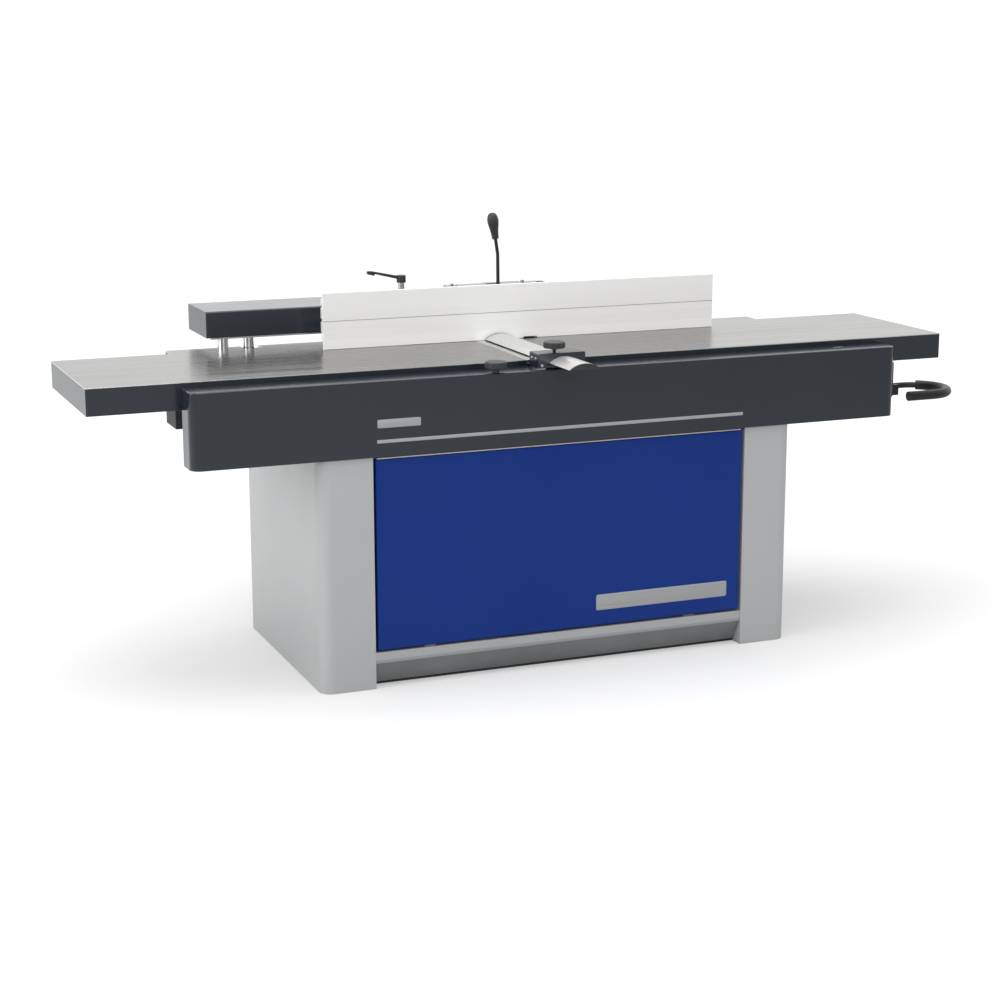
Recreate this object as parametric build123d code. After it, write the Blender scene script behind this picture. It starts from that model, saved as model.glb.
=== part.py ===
from build123d import *
import os
from math import asin, cos, degrees, radians, sin, sqrt

# Surface planer (jointer), millimetres. Origin on the floor under the middle of the base.
# +X to the infeed end, -Y to the operator, +Z up. The knives turn about a line along Y.

# ---- clearances ------------------------------------------------------------------------------
RUN = 0.06            # radial clearance of a shaft, pin or bar that moves in its bore
SEAT = 0.03           # radial clearance of a fixed pin or bearing in its seat
GAP = 0.3             # curved or loose faces that only lie near each other
CLEAR = 1.0           # room beside a moving part
CUT = 2.0             # how far a cutting body runs past the material

# ---- tables ----------------------------------------------------------------------------------
TABLE_TOP = 915.0
TABLE_LENGTH = 2700.0
TABLE_WIDTH = 510.0
TABLE_SHIFT = -23.0           # middle of the tables against the middle of the base
TABLE_FRONT = -301.0
TABLE_DEPTH = 78.0            # height of the skirt all round the casting
TABLE_PLATE = 24.0
TABLE_SKIRT = 16.0
RIB = 12.0
SIDE_RIB_PITCH = 125.0        # from one lengthwise rib to the next
EXTENSION_WIDTH = 67.0        # flange behind the table that the fence slides over
EXTENSION_DEPTH = 40.0
OUTFEED_EXTENSION_LEFT = -1020.0
INFEED_EXTENSION_RIGHT = 950.0
NOTCH = (-789.0, -734.0)      # passage for the second bridge column
NOTCH_ROOM = 6.0
LIP_WIDTH = 36.0
LIP_DEPTH = 12.0
LIP_SLOTS = 16
LIP_SLOT = (10.0, 8.0)        # comb slot, along the feed and across it
MOUTH = 34.0                  # cutter axis to the edge of each lip
LIFT_X, LIFT_Z = 6.0, 8.0     # infeed table, backwards and down at full cut

# ---- cutterblock -----------------------------------------------------------------------------
CUT_X = -16.0
KNIFE_R = 60.0
BLOCK_R = 58.5
KNIVES = 4
KNIFE_THICK = 3.0
KNIFE_HEIGHT = 28.0
GULLET_R = 13.0
WEDGE = (9.0, 17.0)
JOURNAL_R = 15.0
BEARING_R = 31.0
BEARING_WIDTH = 16.0
CHEEK = 34.0                  # thickness of a bearing housing
CHEEK_HALF = 95.0
CHEEK_TO_TABLE = 10.0
CHEEK_DROP = 22.0             # top of the housing under the table surface
CAP_R, CAP_THICK = 37.0, 6.0
PULLEY_R = 45.0
PULLEY_WIDTH = 38.0
PULLEY_BORE = 14.0

# ---- motor and belt --------------------------------------------------------------------------
MOTOR_X, MOTOR_Z = 120.0, 300.0
MOTOR_R = 105.0
MOTOR_LENGTH = 300.0
MOTOR_SHAFT_R = 19.0
MOTOR_PULLEY_R = 77.5
BELT_THICK, BELT_WIDTH = 5.0, 30.0
FAN_R, FAN_BLADES = 90.0, 8
MOTOR_FINS, FIN_HEIGHT = 20, 10.0
TERMINAL_REACH = 45.0         # terminal box beyond the side of the motor
COWL_LENGTH = 50.0

# ---- base ------------------------------------------------------------------------------------
BASE_LENGTH = 1506.0
BASE_DEPTH = 776.0
BASE_TOP = 700.0
PILLAR_WIDTH = 162.0
PILLAR_CORNER = 38.0
PILLAR_RETURN = 62.0          # inner flange beside the front panel
SHEET = 3.0
FLOOR_PLATE = 8.0
TOP_PLATE = 12.0
POST = 70.0
POST_WALL = 5.0
ANCHOR_SPACING = (1260.0, 560.0)
ANCHOR_R = 7.0
PANEL_RECESS = 1.5            # front panel behind the faces of the pillars
PANEL_GAP = 8.0
PANEL_BOTTOM, PANEL_TOP = 113.0, 674.0
PANEL_RETURN = 24.0
PANEL_EDGE = 4.0
PANEL_HOLD_X, PANEL_HOLD = 420.0, 18.0   # two pads under the panel and two catches over it
CATCH_HEIGHT = 16.0
PLINTH_TOP, PLINTH_BREAK, PLINTH_FOOT = 107.0, 84.0, 8.0
PLINTH_SLANT = 42.0
HOOD_LEFT, HOOD_RIGHT = -235.0, 88.0
HOOD_FLOOR, HOOD_TOP = 550.0, 785.0
SPIGOT_X, SPIGOT_Z, SPIGOT_R = -158.0, 620.0, 60.0
SPIGOT_WALL, SPIGOT_REACH, SPIGOT_FLANGE = 2.0, 62.0, 14.0
VENT_COUNT, VENT_SLOT, VENT_BOTTOM = 9, (150.0, 7.0), 240.0
ELECTRICS = (250.0, 500.0, 300.0, 560.0)   # x from, x to, z from, z to
ELECTRICS_DEPTH, ELECTRICS_CORNER = 80.0, 8.0
GLAND_R, GLAND_BORE_R = 12.0, 5.0
GLAND_LENGTH, GLAND_NUT, GLAND_INSET = 26.0, 8.0, 50.0

# ---- apron along the front -------------------------------------------------------------------
APRON_LEFT = -1111.0
APRON_LENGTH = 2222.0
APRON_FRONT = -396.0
APRON_BACK = -303.0
APRON_BOTTOM, APRON_TOP = 682.0, 898.5
APRON_CORNER = 30.0
APRON_EDGE = 4.0
APRON_SHEET = 2.5
APRON_BRACKETS = (-900.0, -480.0, 480.0, 900.0)
SWITCH_Y, SWITCH_Z = -338.0, (815.0, 765.0)
SWITCH_PLATE = (10.0, 56.0, 110.0)
BUTTON_R, BUTTON_TRAVEL, BUTTON_LENGTH = 11.0, 3.0, 10.5

# ---- table supports and depth lever ------------------------------------------------------------
OUT_ARM_LEFT, OUT_ARM_RIGHT = -1050.0, -260.0
OUT_ARM_Y = ((43.0, 162.0), (-260.0, -141.0))
ARM_BOTTOM = 718.0
ARM_WALL = 10.0
IN_ARM_LEFT, IN_ARM_RIGHT = 150.0, 1050.0
IN_ARM_Y = (-195.0, 115.0)
IN_ARM_THICK = 30.0
IN_ARM_TOP = 812.0
SHAFT_Z = 775.0
SHAFT_X = (300.0, 980.0)
SHAFT_R = 20.0
DISC_R, DISC_WIDTH, DISC_ROOM = 32.0, 20.0, 5.0
LUG_HALF, LUG_BOTTOM = 48.0, 735.0
LEVER_SWING = 30.0            # degrees, for the full cut
CRANK = 55.0
CRANK_Y, CRANK_THICK = 20.0, 12.0
CRANK_PIN_R, TIE_EYE_R = 8.0, 15.0
LEVER_Y, LEVER_THICK = -30.0, 12.0
LEVER_BAR = (672.0, 690.0)
LEVER_END = 1356.0
HANDLE_Z = 700.0
HANDLE_START = 1170.0
HANDLE_BEND_X = 1378.0
HANDLE_NEAR_Y = -205.0
HANDLE_NEAR_X = 1284.0
HANDLE_R, GRIP_R = 9.5, 15.5

# ---- fence -----------------------------------------------------------------------------------
FENCE_FACE = 105.7
FENCE_LEFT, FENCE_LENGTH = -577.0, 1308.0
FENCE_LIFT = 0.8              # over the table
FENCE_HEIGHT = 169.5
FENCE_PLATE = 8.0
FENCE_THICK = 25.0
FENCE_BODY = (24.0, 150.0)    # height range of the thick back of the extrusion
FENCE_TOP_THICK = 12.0
FENCE_SLOT = (9.0, 16.0, 7.0)  # mouth, inner width, depth of the inner part
GROOVE_HEIGHT = 84.0
FOOT_NOTCH = 46.0             # small opening in the fence's foot at the right arm
KNUCKLE_R, HINGE_PIN_R = 8.0, 5.0
KNUCKLE_REACH = 48.0
HINGE_BACK, HINGE_UP = 16.8, 8.5      # hinge line behind the face and over the fence's foot
ARM_X = (-254.0, 95.0)
ARM_WIDTH = 36.0
BAR_R = 15.0
BAR_CLAMP_WALL = 7.0
BAR_FRONT, BAR_LENGTH = 206.0, 564.0
ARM_BACK = 234.0
REAR_COVER = (-62.0, 20.0)
REAR_COVER_BACK = 545.0
REAR_COVER_THICK = 2.0

# ---- bridge behind the fence -------------------------------------------------------------------
BRIDGE_LEFT, BRIDGE_RIGHT = -903.0, -64.0
BRIDGE_FRONT, BRIDGE_DEPTH = 236.0, 221.0
BRIDGE_BOTTOM, BRIDGE_TOP = 950.5, 1030.0
BRIDGE_PLATE = 5.0
BRIDGE_INSET = 15.0
BRIDGE_EDGE = 6.0
COLUMN_X = (-848.0, -769.0)
COLUMN_Y, COLUMN_R = 256.0, 17.0
PEDESTAL = (45.0, 175.0)
PEDESTAL_LEG = (306.0, 386.0)
PEDESTAL_HEAD = (262.0, 400.0)
PEDESTAL_HEAD_BOTTOM = 925.0
SLOT_PLATE_TOP, SLOT_PLATE_THICK = 1062.0, 6.0
SLOT_PLATE = (-118.0, 214.0)
SLOT_PLATE_Y = (262.0, 345.0)
BUSH_WALL = 5.0
BUSH_LENGTH = 60.0
BUSH_FLOOR = 1.5              # bushes over the bridge's base plate
CLAMP_Y, CLAMP_HUB_R = 320.0, 14.5
CLAMP_HUB = (1080.0, 1103.0)
CLAMP_TIP = (-112.0, 1117.0)
LOCK_X, LOCK_Y, LOCK_Z = 73.0, 320.0, 1032.0
LOCK_SWING = 20.0
LOCK_ROD_R, LOCK_BEND_R = 5.5, 60.0
LOCK_BEND_Z, LOCK_TOP = 1155.0, (52.0, 1287.0)
LOCK_KNOB_LENGTH, LOCK_KNOB_R = 84.0, (11.0, 17.0)

# ---- bridge guard ------------------------------------------------------------------------------
GUARD_X, GUARD_WIDTH, GUARD_RISE = -10.0, 96.0, 17.5
GUARD_LIFT = 3.5
GUARD_THICK = 4.0
GUARD_BACK, GUARD_LENGTH = 103.0, 651.0
GUARD_CAP = 6.0
HOLDER_X = (-92.0, 56.0)
HOLDER_Y = (-398.0, -334.0)
HOLDER_TOP = 946.0
JAW = 9.0
BEAM = (-240.0, 800.0, 30.0)         # left end, bottom, height
BEAM_Y = (-388.0, -353.0)
POST_X = (-92.0, -64.0)
ROD_X, ROD_Y, ROD_R = (-172.0, -124.0), -370.0, 8.0
FOOT_X, FOOT_THICK = (-250.0, -82.0), 8.0
CLAMP_KNOB = (-28.0, -366.0)
HEIGHT_KNOB = (-215.0, -380.0)
KNOB_R, KNOB_THICK = 32.0, 18.0
KNOB_GROOVES, KNOB_GROOVE = 12, (4.0, 2.5)   # how many, their radius and how far their middle stands out
CLAMP_KNOB_LIFT, HEIGHT_KNOB_LIFT = 11.0, 14.0
KNOB_STEM_R = 5.0
SPINDLE_R, SPINDLE_COLLAR_R = 6.0, 10.0

# ---- worked out from the sizes above ---------------------------------------------------------
TABLE_BACK = TABLE_FRONT + TABLE_WIDTH
TABLE_LEFT, TABLE_RIGHT = TABLE_SHIFT - TABLE_LENGTH / 2, TABLE_SHIFT + TABLE_LENGTH / 2
TABLE_UNDER = TABLE_TOP - TABLE_DEPTH
EXTENSION_BACK = TABLE_BACK + EXTENSION_WIDTH
EXTENSION_UNDER = TABLE_TOP - EXTENSION_DEPTH
CUT_Z = TABLE_TOP - KNIFE_R
CASTING_EDGE = MOUTH + LIP_WIDTH
BASE_HALF_X, BASE_HALF_Y = BASE_LENGTH / 2, BASE_DEPTH / 2
BAR_Z = BRIDGE_BOTTOM + BUSH_FLOOR + BUSH_WALL + BAR_R
PILLAR_INNER = BASE_HALF_X - PILLAR_WIDTH
FRONT_CHEEK = TABLE_FRONT - CHEEK_TO_TABLE - CHEEK
REAR_CHEEK = TABLE_BACK + CHEEK_TO_TABLE
CHEEK_TOP = TABLE_TOP - CHEEK_DROP
PULLEY_Y = REAR_CHEEK + CHEEK + 7
HINGE_Y = FENCE_FACE + HINGE_BACK
FENCE_FOOT = TABLE_TOP + FENCE_LIFT
HINGE_Z = FENCE_FOOT + HINGE_UP
GUARD_FOOT = TABLE_TOP + GUARD_LIFT
GUARD_CROWN = GUARD_FOOT + GUARD_RISE
APRON_RIGHT = APRON_LEFT + APRON_LENGTH
BRIDGE_BACK = BRIDGE_FRONT + BRIDGE_DEPTH
LIFT_PATH = sqrt(LIFT_X ** 2 + LIFT_Z ** 2)
THROW = LIFT_PATH / 2 / sin(radians(LEVER_SWING / 2))        # eccentricity of the lifting discs
DISC_ANGLE = degrees(asin(LIFT_X / LIFT_PATH)) + LEVER_SWING / 2
DISC_SAG = THROW * (1 - cos(radians(LEVER_SWING / 2)))       # arc against straight lift

NODES = {}
FASTENERS = []


def block(x0, x1, y0, y1, z0, z1):
    """A box between two corners."""
    return Pos((x0 + x1) / 2, (y0 + y1) / 2, (z0 + z1) / 2) * Box(x1 - x0, y1 - y0, z1 - z0)


def rod_x(y, z, r, x0, x1):
    """A round bar along X."""
    return Pos((x0 + x1) / 2, y, z) * Rot(0, 90, 0) * Cylinder(r, x1 - x0)


def rod_y(x, z, r, y0, y1):
    """A round bar along Y."""
    return Pos(x, (y0 + y1) / 2, z) * Rot(90, 0, 0) * Cylinder(r, y1 - y0)


def rod_z(x, y, r, z0, z1):
    """A round bar along Z."""
    return Pos(x, y, (z0 + z1) / 2) * Cylinder(r, z1 - z0)


def prism_x(points, x0, x1):
    """An outline of (y, z) points carried along X."""
    outline = make_face(Polyline(*points, close=True))
    return extrude(Plane.YZ.offset(x0) * outline, x1 - x0)


def prism_y(points, y0, y1):
    """An outline of (x, z) points carried along Y."""
    outline = make_face(Polyline(*points, close=True))
    return extrude(Plane.XZ.offset(-y1) * outline, y1 - y0)


def put(node, *shapes):
    """Keeps the shapes as one node, written to parts/ at the end."""
    NODES[node] = list(shapes)


def upright_edges(shape, side):
    """The upright edges of a box at its low (0) or high (-1) X end."""
    return shape.edges().filter_by(Axis.Z).group_by(Axis.X)[side]


# ---- tables ----------------------------------------------------------------------------------
def casting(x0, x1):
    """A table casting: plate, skirt all round and ribs under it."""
    body = block(x0, x1, TABLE_FRONT, TABLE_BACK, TABLE_UNDER, TABLE_TOP)
    inner = (x0 + TABLE_SKIRT, x1 - TABLE_SKIRT, TABLE_FRONT + TABLE_SKIRT, TABLE_BACK - TABLE_SKIRT)
    body -= block(*inner, TABLE_UNDER - CUT, TABLE_TOP - TABLE_PLATE)
    middle = (TABLE_FRONT + TABLE_BACK) / 2
    for step in (-1, 0, 1):
        y = middle + step * SIDE_RIB_PITCH
        body += block(x0 + 1, x1 - 1, y - RIB / 2, y + RIB / 2, TABLE_UNDER, TABLE_TOP - 1)
    bays = 5
    for bay in range(1, bays):
        x = x0 + (x1 - x0) * bay / bays
        body += block(x - RIB / 2, x + RIB / 2, TABLE_FRONT + 1, TABLE_BACK - 1, TABLE_UNDER, TABLE_TOP - 1)
    return body


def extension(x0, x1):
    """The flange behind a table."""
    return block(x0, x1, TABLE_BACK - 1, EXTENSION_BACK, EXTENSION_UNDER, TABLE_TOP)


def lip(side):
    """A comb lip beside the knives, on the outfeed (-1) or the infeed side (+1)."""
    edge, back = CUT_X + side * MOUTH, CUT_X + side * CASTING_EDGE
    bar = block(min(edge, back), max(edge, back), TABLE_FRONT, TABLE_BACK, TABLE_TOP - LIP_DEPTH, TABLE_TOP)
    bar -= rod_y(CUT_X, CUT_Z, KNIFE_R + CLEAR, TABLE_FRONT - CUT, TABLE_BACK + CUT)
    if side > 0:
        lowered = rod_y(CUT_X - LIFT_X, CUT_Z + LIFT_Z, KNIFE_R + CLEAR, TABLE_FRONT - CUT, TABLE_BACK + CUT)
        bar -= lowered
    pitch = TABLE_WIDTH / LIP_SLOTS
    length, width = LIP_SLOT
    for i in range(LIP_SLOTS):
        y = TABLE_FRONT + (i + 0.5) * pitch
        inner, outer = sorted((edge - side * CUT, edge + side * length))
        bar -= block(inner, outer, y - width / 2, y + width / 2, TABLE_TOP - LIP_DEPTH - CUT, TABLE_TOP + CUT)
    return bar


def tables():
    """Both tables with their rear flanges and lips."""
    left, right = CUT_X - CASTING_EDGE, CUT_X + CASTING_EDGE
    outfeed = casting(TABLE_LEFT, left) + extension(OUTFEED_EXTENSION_LEFT, left - CHEEK_HALF + CASTING_EDGE)
    notch_front = COLUMN_Y - COLUMN_R - NOTCH_ROOM
    outfeed -= block(*NOTCH, notch_front, EXTENSION_BACK + CUT, EXTENSION_UNDER - CUT, TABLE_TOP + CUT)
    infeed_start = CUT_X + CHEEK_HALF + LIFT_X
    infeed = casting(right, TABLE_RIGHT) + extension(infeed_start, INFEED_EXTENSION_RIGHT)
    offset = disc_offset()[0]
    for x in SHAFT_X:
        for a, b in disc_places():
            infeed += block(x - LUG_HALF + offset, x + LUG_HALF + offset, a, b, TABLE_UNDER, TABLE_TOP - 1)
    put("outfeed_table", outfeed)
    put("infeed_table", infeed)
    put("outfeed_lip", lip(-1))
    put("infeed_lip", lip(1))


# ---- cutterblock -----------------------------------------------------------------------------
def cheek(y0):
    """A bearing housing that stands on the top plate."""
    x0, x1 = CUT_X - CHEEK_HALF, CUT_X + CHEEK_HALF
    body = block(x0, x1, y0, y0 + CHEEK, BASE_TOP, CHEEK_TOP)
    body = chamfer(body.edges().filter_by(Axis.Y).group_by(Axis.Z)[-1], 34)
    return body - rod_y(CUT_X, CUT_Z, BEARING_R + SEAT, y0 - CUT, y0 + CHEEK + CUT)


def bearing(y0):
    """A ball bearing: its two rings, and one plain ring in place of the balls and their cage."""
    y1 = y0 + BEARING_WIDTH
    race = (JOURNAL_R + BEARING_R) / 2
    outer = rod_y(CUT_X, CUT_Z, BEARING_R, y0, y1) - rod_y(CUT_X, CUT_Z, race + 3, y0 - CUT, y1 + CUT)
    inner = rod_y(CUT_X, CUT_Z, race - 3, y0, y1) - rod_y(CUT_X, CUT_Z, JOURNAL_R + RUN, y0 - CUT, y1 + CUT)
    cage = rod_y(CUT_X, CUT_Z, race + 2.8, y0 + 4, y1 - 4)
    cage -= rod_y(CUT_X, CUT_Z, race - 2.8, y0, y1)
    return outer, inner, cage


def knife_pocket(angle, y0, y1):
    """The gullet and the slot for one knife and its wedge."""
    slot = block(-WEDGE[0] - KNIFE_THICK, 0, y0, y1, BLOCK_R - KNIFE_HEIGHT, BLOCK_R + CUT)
    gullet = rod_y(-WEDGE[0] - KNIFE_THICK, BLOCK_R + 4, GULLET_R, y0, y1)
    return Pos(CUT_X, 0, CUT_Z) * Rot(0, angle, 0) * (slot + gullet)


def cutterblock():
    """The cutterblock with knives, wedges, bearings, housings and pulley."""
    y0, y1 = TABLE_FRONT, TABLE_BACK
    shaft_end = PULLEY_Y + PULLEY_WIDTH + 4
    body = rod_y(CUT_X, CUT_Z, BLOCK_R, y0, y1)
    knives, wedges = [], []
    for i in range(KNIVES):
        angle = 45 + i * 360 / KNIVES
        body -= knife_pocket(angle, y0 - CUT, y1 + CUT)
        knife = block(-KNIFE_THICK, 0, y0, y1, BLOCK_R - KNIFE_HEIGHT, KNIFE_R)
        knife = knife - block(-KNIFE_THICK - CUT, -1, y0 - CUT, y1 + CUT, BLOCK_R, KNIFE_R + CUT)
        foot = BLOCK_R - KNIFE_HEIGHT
        wedge = block(-KNIFE_THICK - WEDGE[0], -KNIFE_THICK, y0 + 1, y1 - 1, foot, foot + WEDGE[1])
        turn = Pos(CUT_X, 0, CUT_Z) * Rot(0, angle, 0)
        knives.append(turn * knife)
        wedges.append(turn * wedge)
    body += rod_y(CUT_X, CUT_Z, JOURNAL_R, FRONT_CHEEK + 2, y0 + 1)
    body += rod_y(CUT_X, CUT_Z, JOURNAL_R, y1 - 1, REAR_CHEEK + CHEEK + 1)
    body += rod_y(CUT_X, CUT_Z, PULLEY_BORE, REAR_CHEEK + CHEEK, shaft_end)
    put("cutterblock", body)
    put("planer_knives", *knives)
    put("knife_wedges", *wedges)
    put("cutterblock_pulley", grooved_pulley(CUT_X, CUT_Z, PULLEY_R, PULLEY_BORE))
    put("cutterblock_bearings", *bearing(FRONT_CHEEK + 6), *bearing(REAR_CHEEK + 8))
    front_cap = rod_y(CUT_X, CUT_Z, CAP_R, FRONT_CHEEK - CAP_THICK, FRONT_CHEEK)
    rear_y = REAR_CHEEK + CHEEK
    rear_cap = rod_y(CUT_X, CUT_Z, CAP_R, rear_y, rear_y + CAP_THICK)
    rear_cap -= rod_y(CUT_X, CUT_Z, JOURNAL_R + CLEAR, rear_y - CUT, rear_y + CAP_THICK + CUT)
    put("bearing_housings", cheek(FRONT_CHEEK), cheek(REAR_CHEEK), front_cap, rear_cap)


def grooved_pulley(x, z, radius, bore):
    """A belt pulley with two rims, on a shaft along Y."""
    y1 = PULLEY_Y + PULLEY_WIDTH
    rim = (PULLEY_WIDTH - BELT_WIDTH) / 2 - CLEAR
    body = rod_y(x, z, radius, PULLEY_Y, y1)
    body += rod_y(x, z, radius + BELT_THICK + 2, PULLEY_Y, PULLEY_Y + rim)
    body += rod_y(x, z, radius + BELT_THICK + 2, y1 - rim, y1)
    return body - rod_y(x, z, bore + SEAT, PULLEY_Y - CUT, y1 + CUT)


# ---- motor and belt --------------------------------------------------------------------------
def belt_blank(growth):
    """The area inside a belt round both pulleys, grown by a thickness."""
    dx, dz = MOTOR_X - CUT_X, MOTOR_Z - CUT_Z
    span = sqrt(dx ** 2 + dz ** 2)
    small, large = PULLEY_R + growth, MOTOR_PULLEY_R + growth
    along = (dx / span, dz / span)
    across = (-along[1], along[0])
    lean = (small - large) / span
    rise = sqrt(1 - lean ** 2)
    y0 = PULLEY_Y + (PULLEY_WIDTH - BELT_WIDTH) / 2
    y1 = y0 + BELT_WIDTH

    def tangent(x, z, r, side):
        return (x + r * (along[0] * lean + side * across[0] * rise),
                z + r * (along[1] * lean + side * across[1] * rise))

    corners = [tangent(CUT_X, CUT_Z, small, 1), tangent(MOTOR_X, MOTOR_Z, large, 1),
               tangent(MOTOR_X, MOTOR_Z, large, -1), tangent(CUT_X, CUT_Z, small, -1)]
    body = prism_y(corners, y0, y1)
    return body + rod_y(CUT_X, CUT_Z, small, y0, y1) + rod_y(MOTOR_X, MOTOR_Z, large, y0, y1)


def motor():
    """The motor on its cradle, its shaft, fan and pulley, and the drive belt."""
    back = PULLEY_Y - 22
    front = back - MOTOR_LENGTH
    shell = rod_y(MOTOR_X, MOTOR_Z, MOTOR_R, front, back)
    for i in range(MOTOR_FINS):
        turn = Pos(MOTOR_X, 0, MOTOR_Z) * Rot(0, i * 360 / MOTOR_FINS, 0)
        shell += turn * block(-2, 2, front + 20, back - 20, MOTOR_R - 2, MOTOR_R + FIN_HEIGHT)
    side = MOTOR_X + MOTOR_R
    shell += block(side - 20, side + TERMINAL_REACH, front + 90, front + 200, MOTOR_Z - 45, MOTOR_Z + 45)
    shell -= rod_y(MOTOR_X, MOTOR_Z, MOTOR_SHAFT_R + RUN, front - CUT, back + CUT)
    shaft_end = PULLEY_Y + PULLEY_WIDTH
    shaft = rod_y(MOTOR_X, MOTOR_Z, MOTOR_SHAFT_R, front - 40, shaft_end)
    put("motor_rotor", shaft, fan(front - 36, front - 8))
    put("motor_pulley", grooved_pulley(MOTOR_X, MOTOR_Z, MOTOR_PULLEY_R, MOTOR_SHAFT_R))
    cowl_front = front - COWL_LENGTH
    cowl = rod_y(MOTOR_X, MOTOR_Z, MOTOR_R, cowl_front, front)
    cowl -= rod_y(MOTOR_X, MOTOR_Z, MOTOR_R - SHEET, cowl_front + SHEET, front + CUT)
    cowl -= rod_y(MOTOR_X, MOTOR_Z, FAN_R / 2, cowl_front - CUT, front)
    put("motor_housing", shell, cowl)
    put("motor_cradle", cradle(front, back))
    put("drive_belt", belt_blank(GAP + BELT_THICK) - belt_blank(GAP))


def fan(y0, y1):
    """The motor's cooling fan."""
    hub = rod_y(MOTOR_X, MOTOR_Z, MOTOR_SHAFT_R + 12, y0, y1)
    for i in range(FAN_BLADES):
        turn = Pos(MOTOR_X, 0, MOTOR_Z) * Rot(0, i * 360 / FAN_BLADES, 0)
        hub += turn * block(-2, 2, y0, y1, MOTOR_SHAFT_R + 8, FAN_R)
    return hub - rod_y(MOTOR_X, MOTOR_Z, MOTOR_SHAFT_R + SEAT, y0 - CUT, y1 + CUT)


def cradle(front, back):
    """Two saddles on a stool that stands on the floor plate."""
    seat = MOTOR_Z - 40
    body = block(MOTOR_X - 120, MOTOR_X + 120, front + 10, back - 10, FLOOR_PLATE, FLOOR_PLATE + 12)
    for y in (front + 22, back - 22):
        body += block(MOTOR_X - 90, MOTOR_X + 90, y - 10, y + 10, FLOOR_PLATE + 10, seat)
    return body - rod_y(MOTOR_X, MOTOR_Z, MOTOR_R + 10 + GAP, front - CUT, back + CUT)


# ---- base ------------------------------------------------------------------------------------
def pillar():
    """The left pillar cover, bent from one sheet round the end of the base."""
    outer = block(-BASE_HALF_X, -PILLAR_INNER, -BASE_HALF_Y, BASE_HALF_Y, 0, BASE_TOP)
    outer = fillet(upright_edges(outer, 0), PILLAR_CORNER)
    hollow = block(-BASE_HALF_X + SHEET, -PILLAR_INNER - SHEET, -BASE_HALF_Y + SHEET, BASE_HALF_Y - SHEET,
                   -CUT, BASE_TOP + CUT)
    hollow = fillet(upright_edges(hollow, 0), PILLAR_CORNER - SHEET)
    opening = block(-PILLAR_INNER - SHEET - 1, -PILLAR_INNER + CUT, -BASE_HALF_Y + PILLAR_RETURN,
                    BASE_HALF_Y - SHEET, -CUT, BASE_TOP + CUT)
    return outer - hollow - opening


def tray(x0, x1, z0, z1, front, inward):
    """A panel with its four edges bent back, facing -Y (inward +1) or +Y (inward -1)."""
    y0, y1 = sorted((front, front + inward * PANEL_RETURN))
    body = block(x0, x1, y0, y1, z0, z1)
    face = 0 if inward > 0 else -1
    body = fillet(body.faces().sort_by(Axis.Y)[face].edges(), PANEL_EDGE)
    inner0, inner1 = sorted((front + inward * SHEET, front + inward * (PANEL_RETURN + CUT)))
    return body - block(x0 + SHEET, x1 - SHEET, inner0, inner1, z0 + SHEET, z1 - SHEET)


def plinth():
    """The kick rail under the front panel: a narrow band, then a slope back to the floor."""
    face = -BASE_HALF_Y + PANEL_RECESS
    foot = face + PLINTH_SLANT
    points = [(face, PLINTH_TOP), (face, PLINTH_BREAK), (foot, PLINTH_FOOT), (foot + SHEET, PLINTH_FOOT),
              (face + SHEET, PLINTH_BREAK + 1), (face + SHEET, PLINTH_TOP - SHEET),
              (face + PANEL_RETURN, PLINTH_TOP - SHEET), (face + PANEL_RETURN, PLINTH_TOP)]
    edge = PILLAR_INNER - GAP
    body = prism_x(points, -edge, edge)
    for side in (-1, 1):
        x = side * PANEL_HOLD_X
        body += block(x - PANEL_HOLD, x + PANEL_HOLD, face + 4 * SHEET, face + PANEL_RETURN - 2,
                      PLINTH_TOP - 1, PANEL_BOTTOM)
    return body


def top_plate():
    """The welded top of the base with openings for the chip hood and the belt."""
    edge_x, edge_y = BASE_HALF_X - SHEET - GAP, BASE_HALF_Y - SHEET - GAP
    body = block(-edge_x, edge_x, -edge_y, edge_y, BASE_TOP - TOP_PLATE, BASE_TOP)
    body = fillet(upright_edges(body, 0), PILLAR_CORNER - SHEET)
    body = fillet(upright_edges(body, -1), PILLAR_CORNER - SHEET)
    for side in (-1, 1):
        x0, x1 = sorted((side * (PILLAR_INNER - GAP), side * (PILLAR_INNER + SHEET + GAP)))
        body -= block(x0, x1, -BASE_HALF_Y, -BASE_HALF_Y + PILLAR_RETURN + GAP,
                      BASE_TOP - TOP_PLATE - CUT, BASE_TOP + CUT)
    body -= block(HOOD_LEFT - GAP, HOOD_RIGHT + GAP, TABLE_FRONT + 12, TABLE_BACK - 6,
                  BASE_TOP - TOP_PLATE - CUT, BASE_TOP + CUT)
    belt_room = PULLEY_R + BELT_THICK + 20
    body -= block(CUT_X - belt_room, CUT_X + belt_room + 45, PULLEY_Y - 5, PULLEY_Y + PULLEY_WIDTH + 5,
                  BASE_TOP - TOP_PLATE - CUT, BASE_TOP + CUT)
    rail_edge = PILLAR_INNER - GAP
    rail = block(-rail_edge, rail_edge, -edge_y, -edge_y + SHEET, PANEL_TOP + 2, BASE_TOP - 1)
    for side in (-1, 1):
        x = side * PANEL_HOLD_X
        rail += block(x - PANEL_HOLD, x + PANEL_HOLD, -edge_y + 1, -edge_y + 2 * SHEET,
                      PANEL_TOP, PANEL_TOP + CATCH_HEIGHT)
    return body + rail


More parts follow.
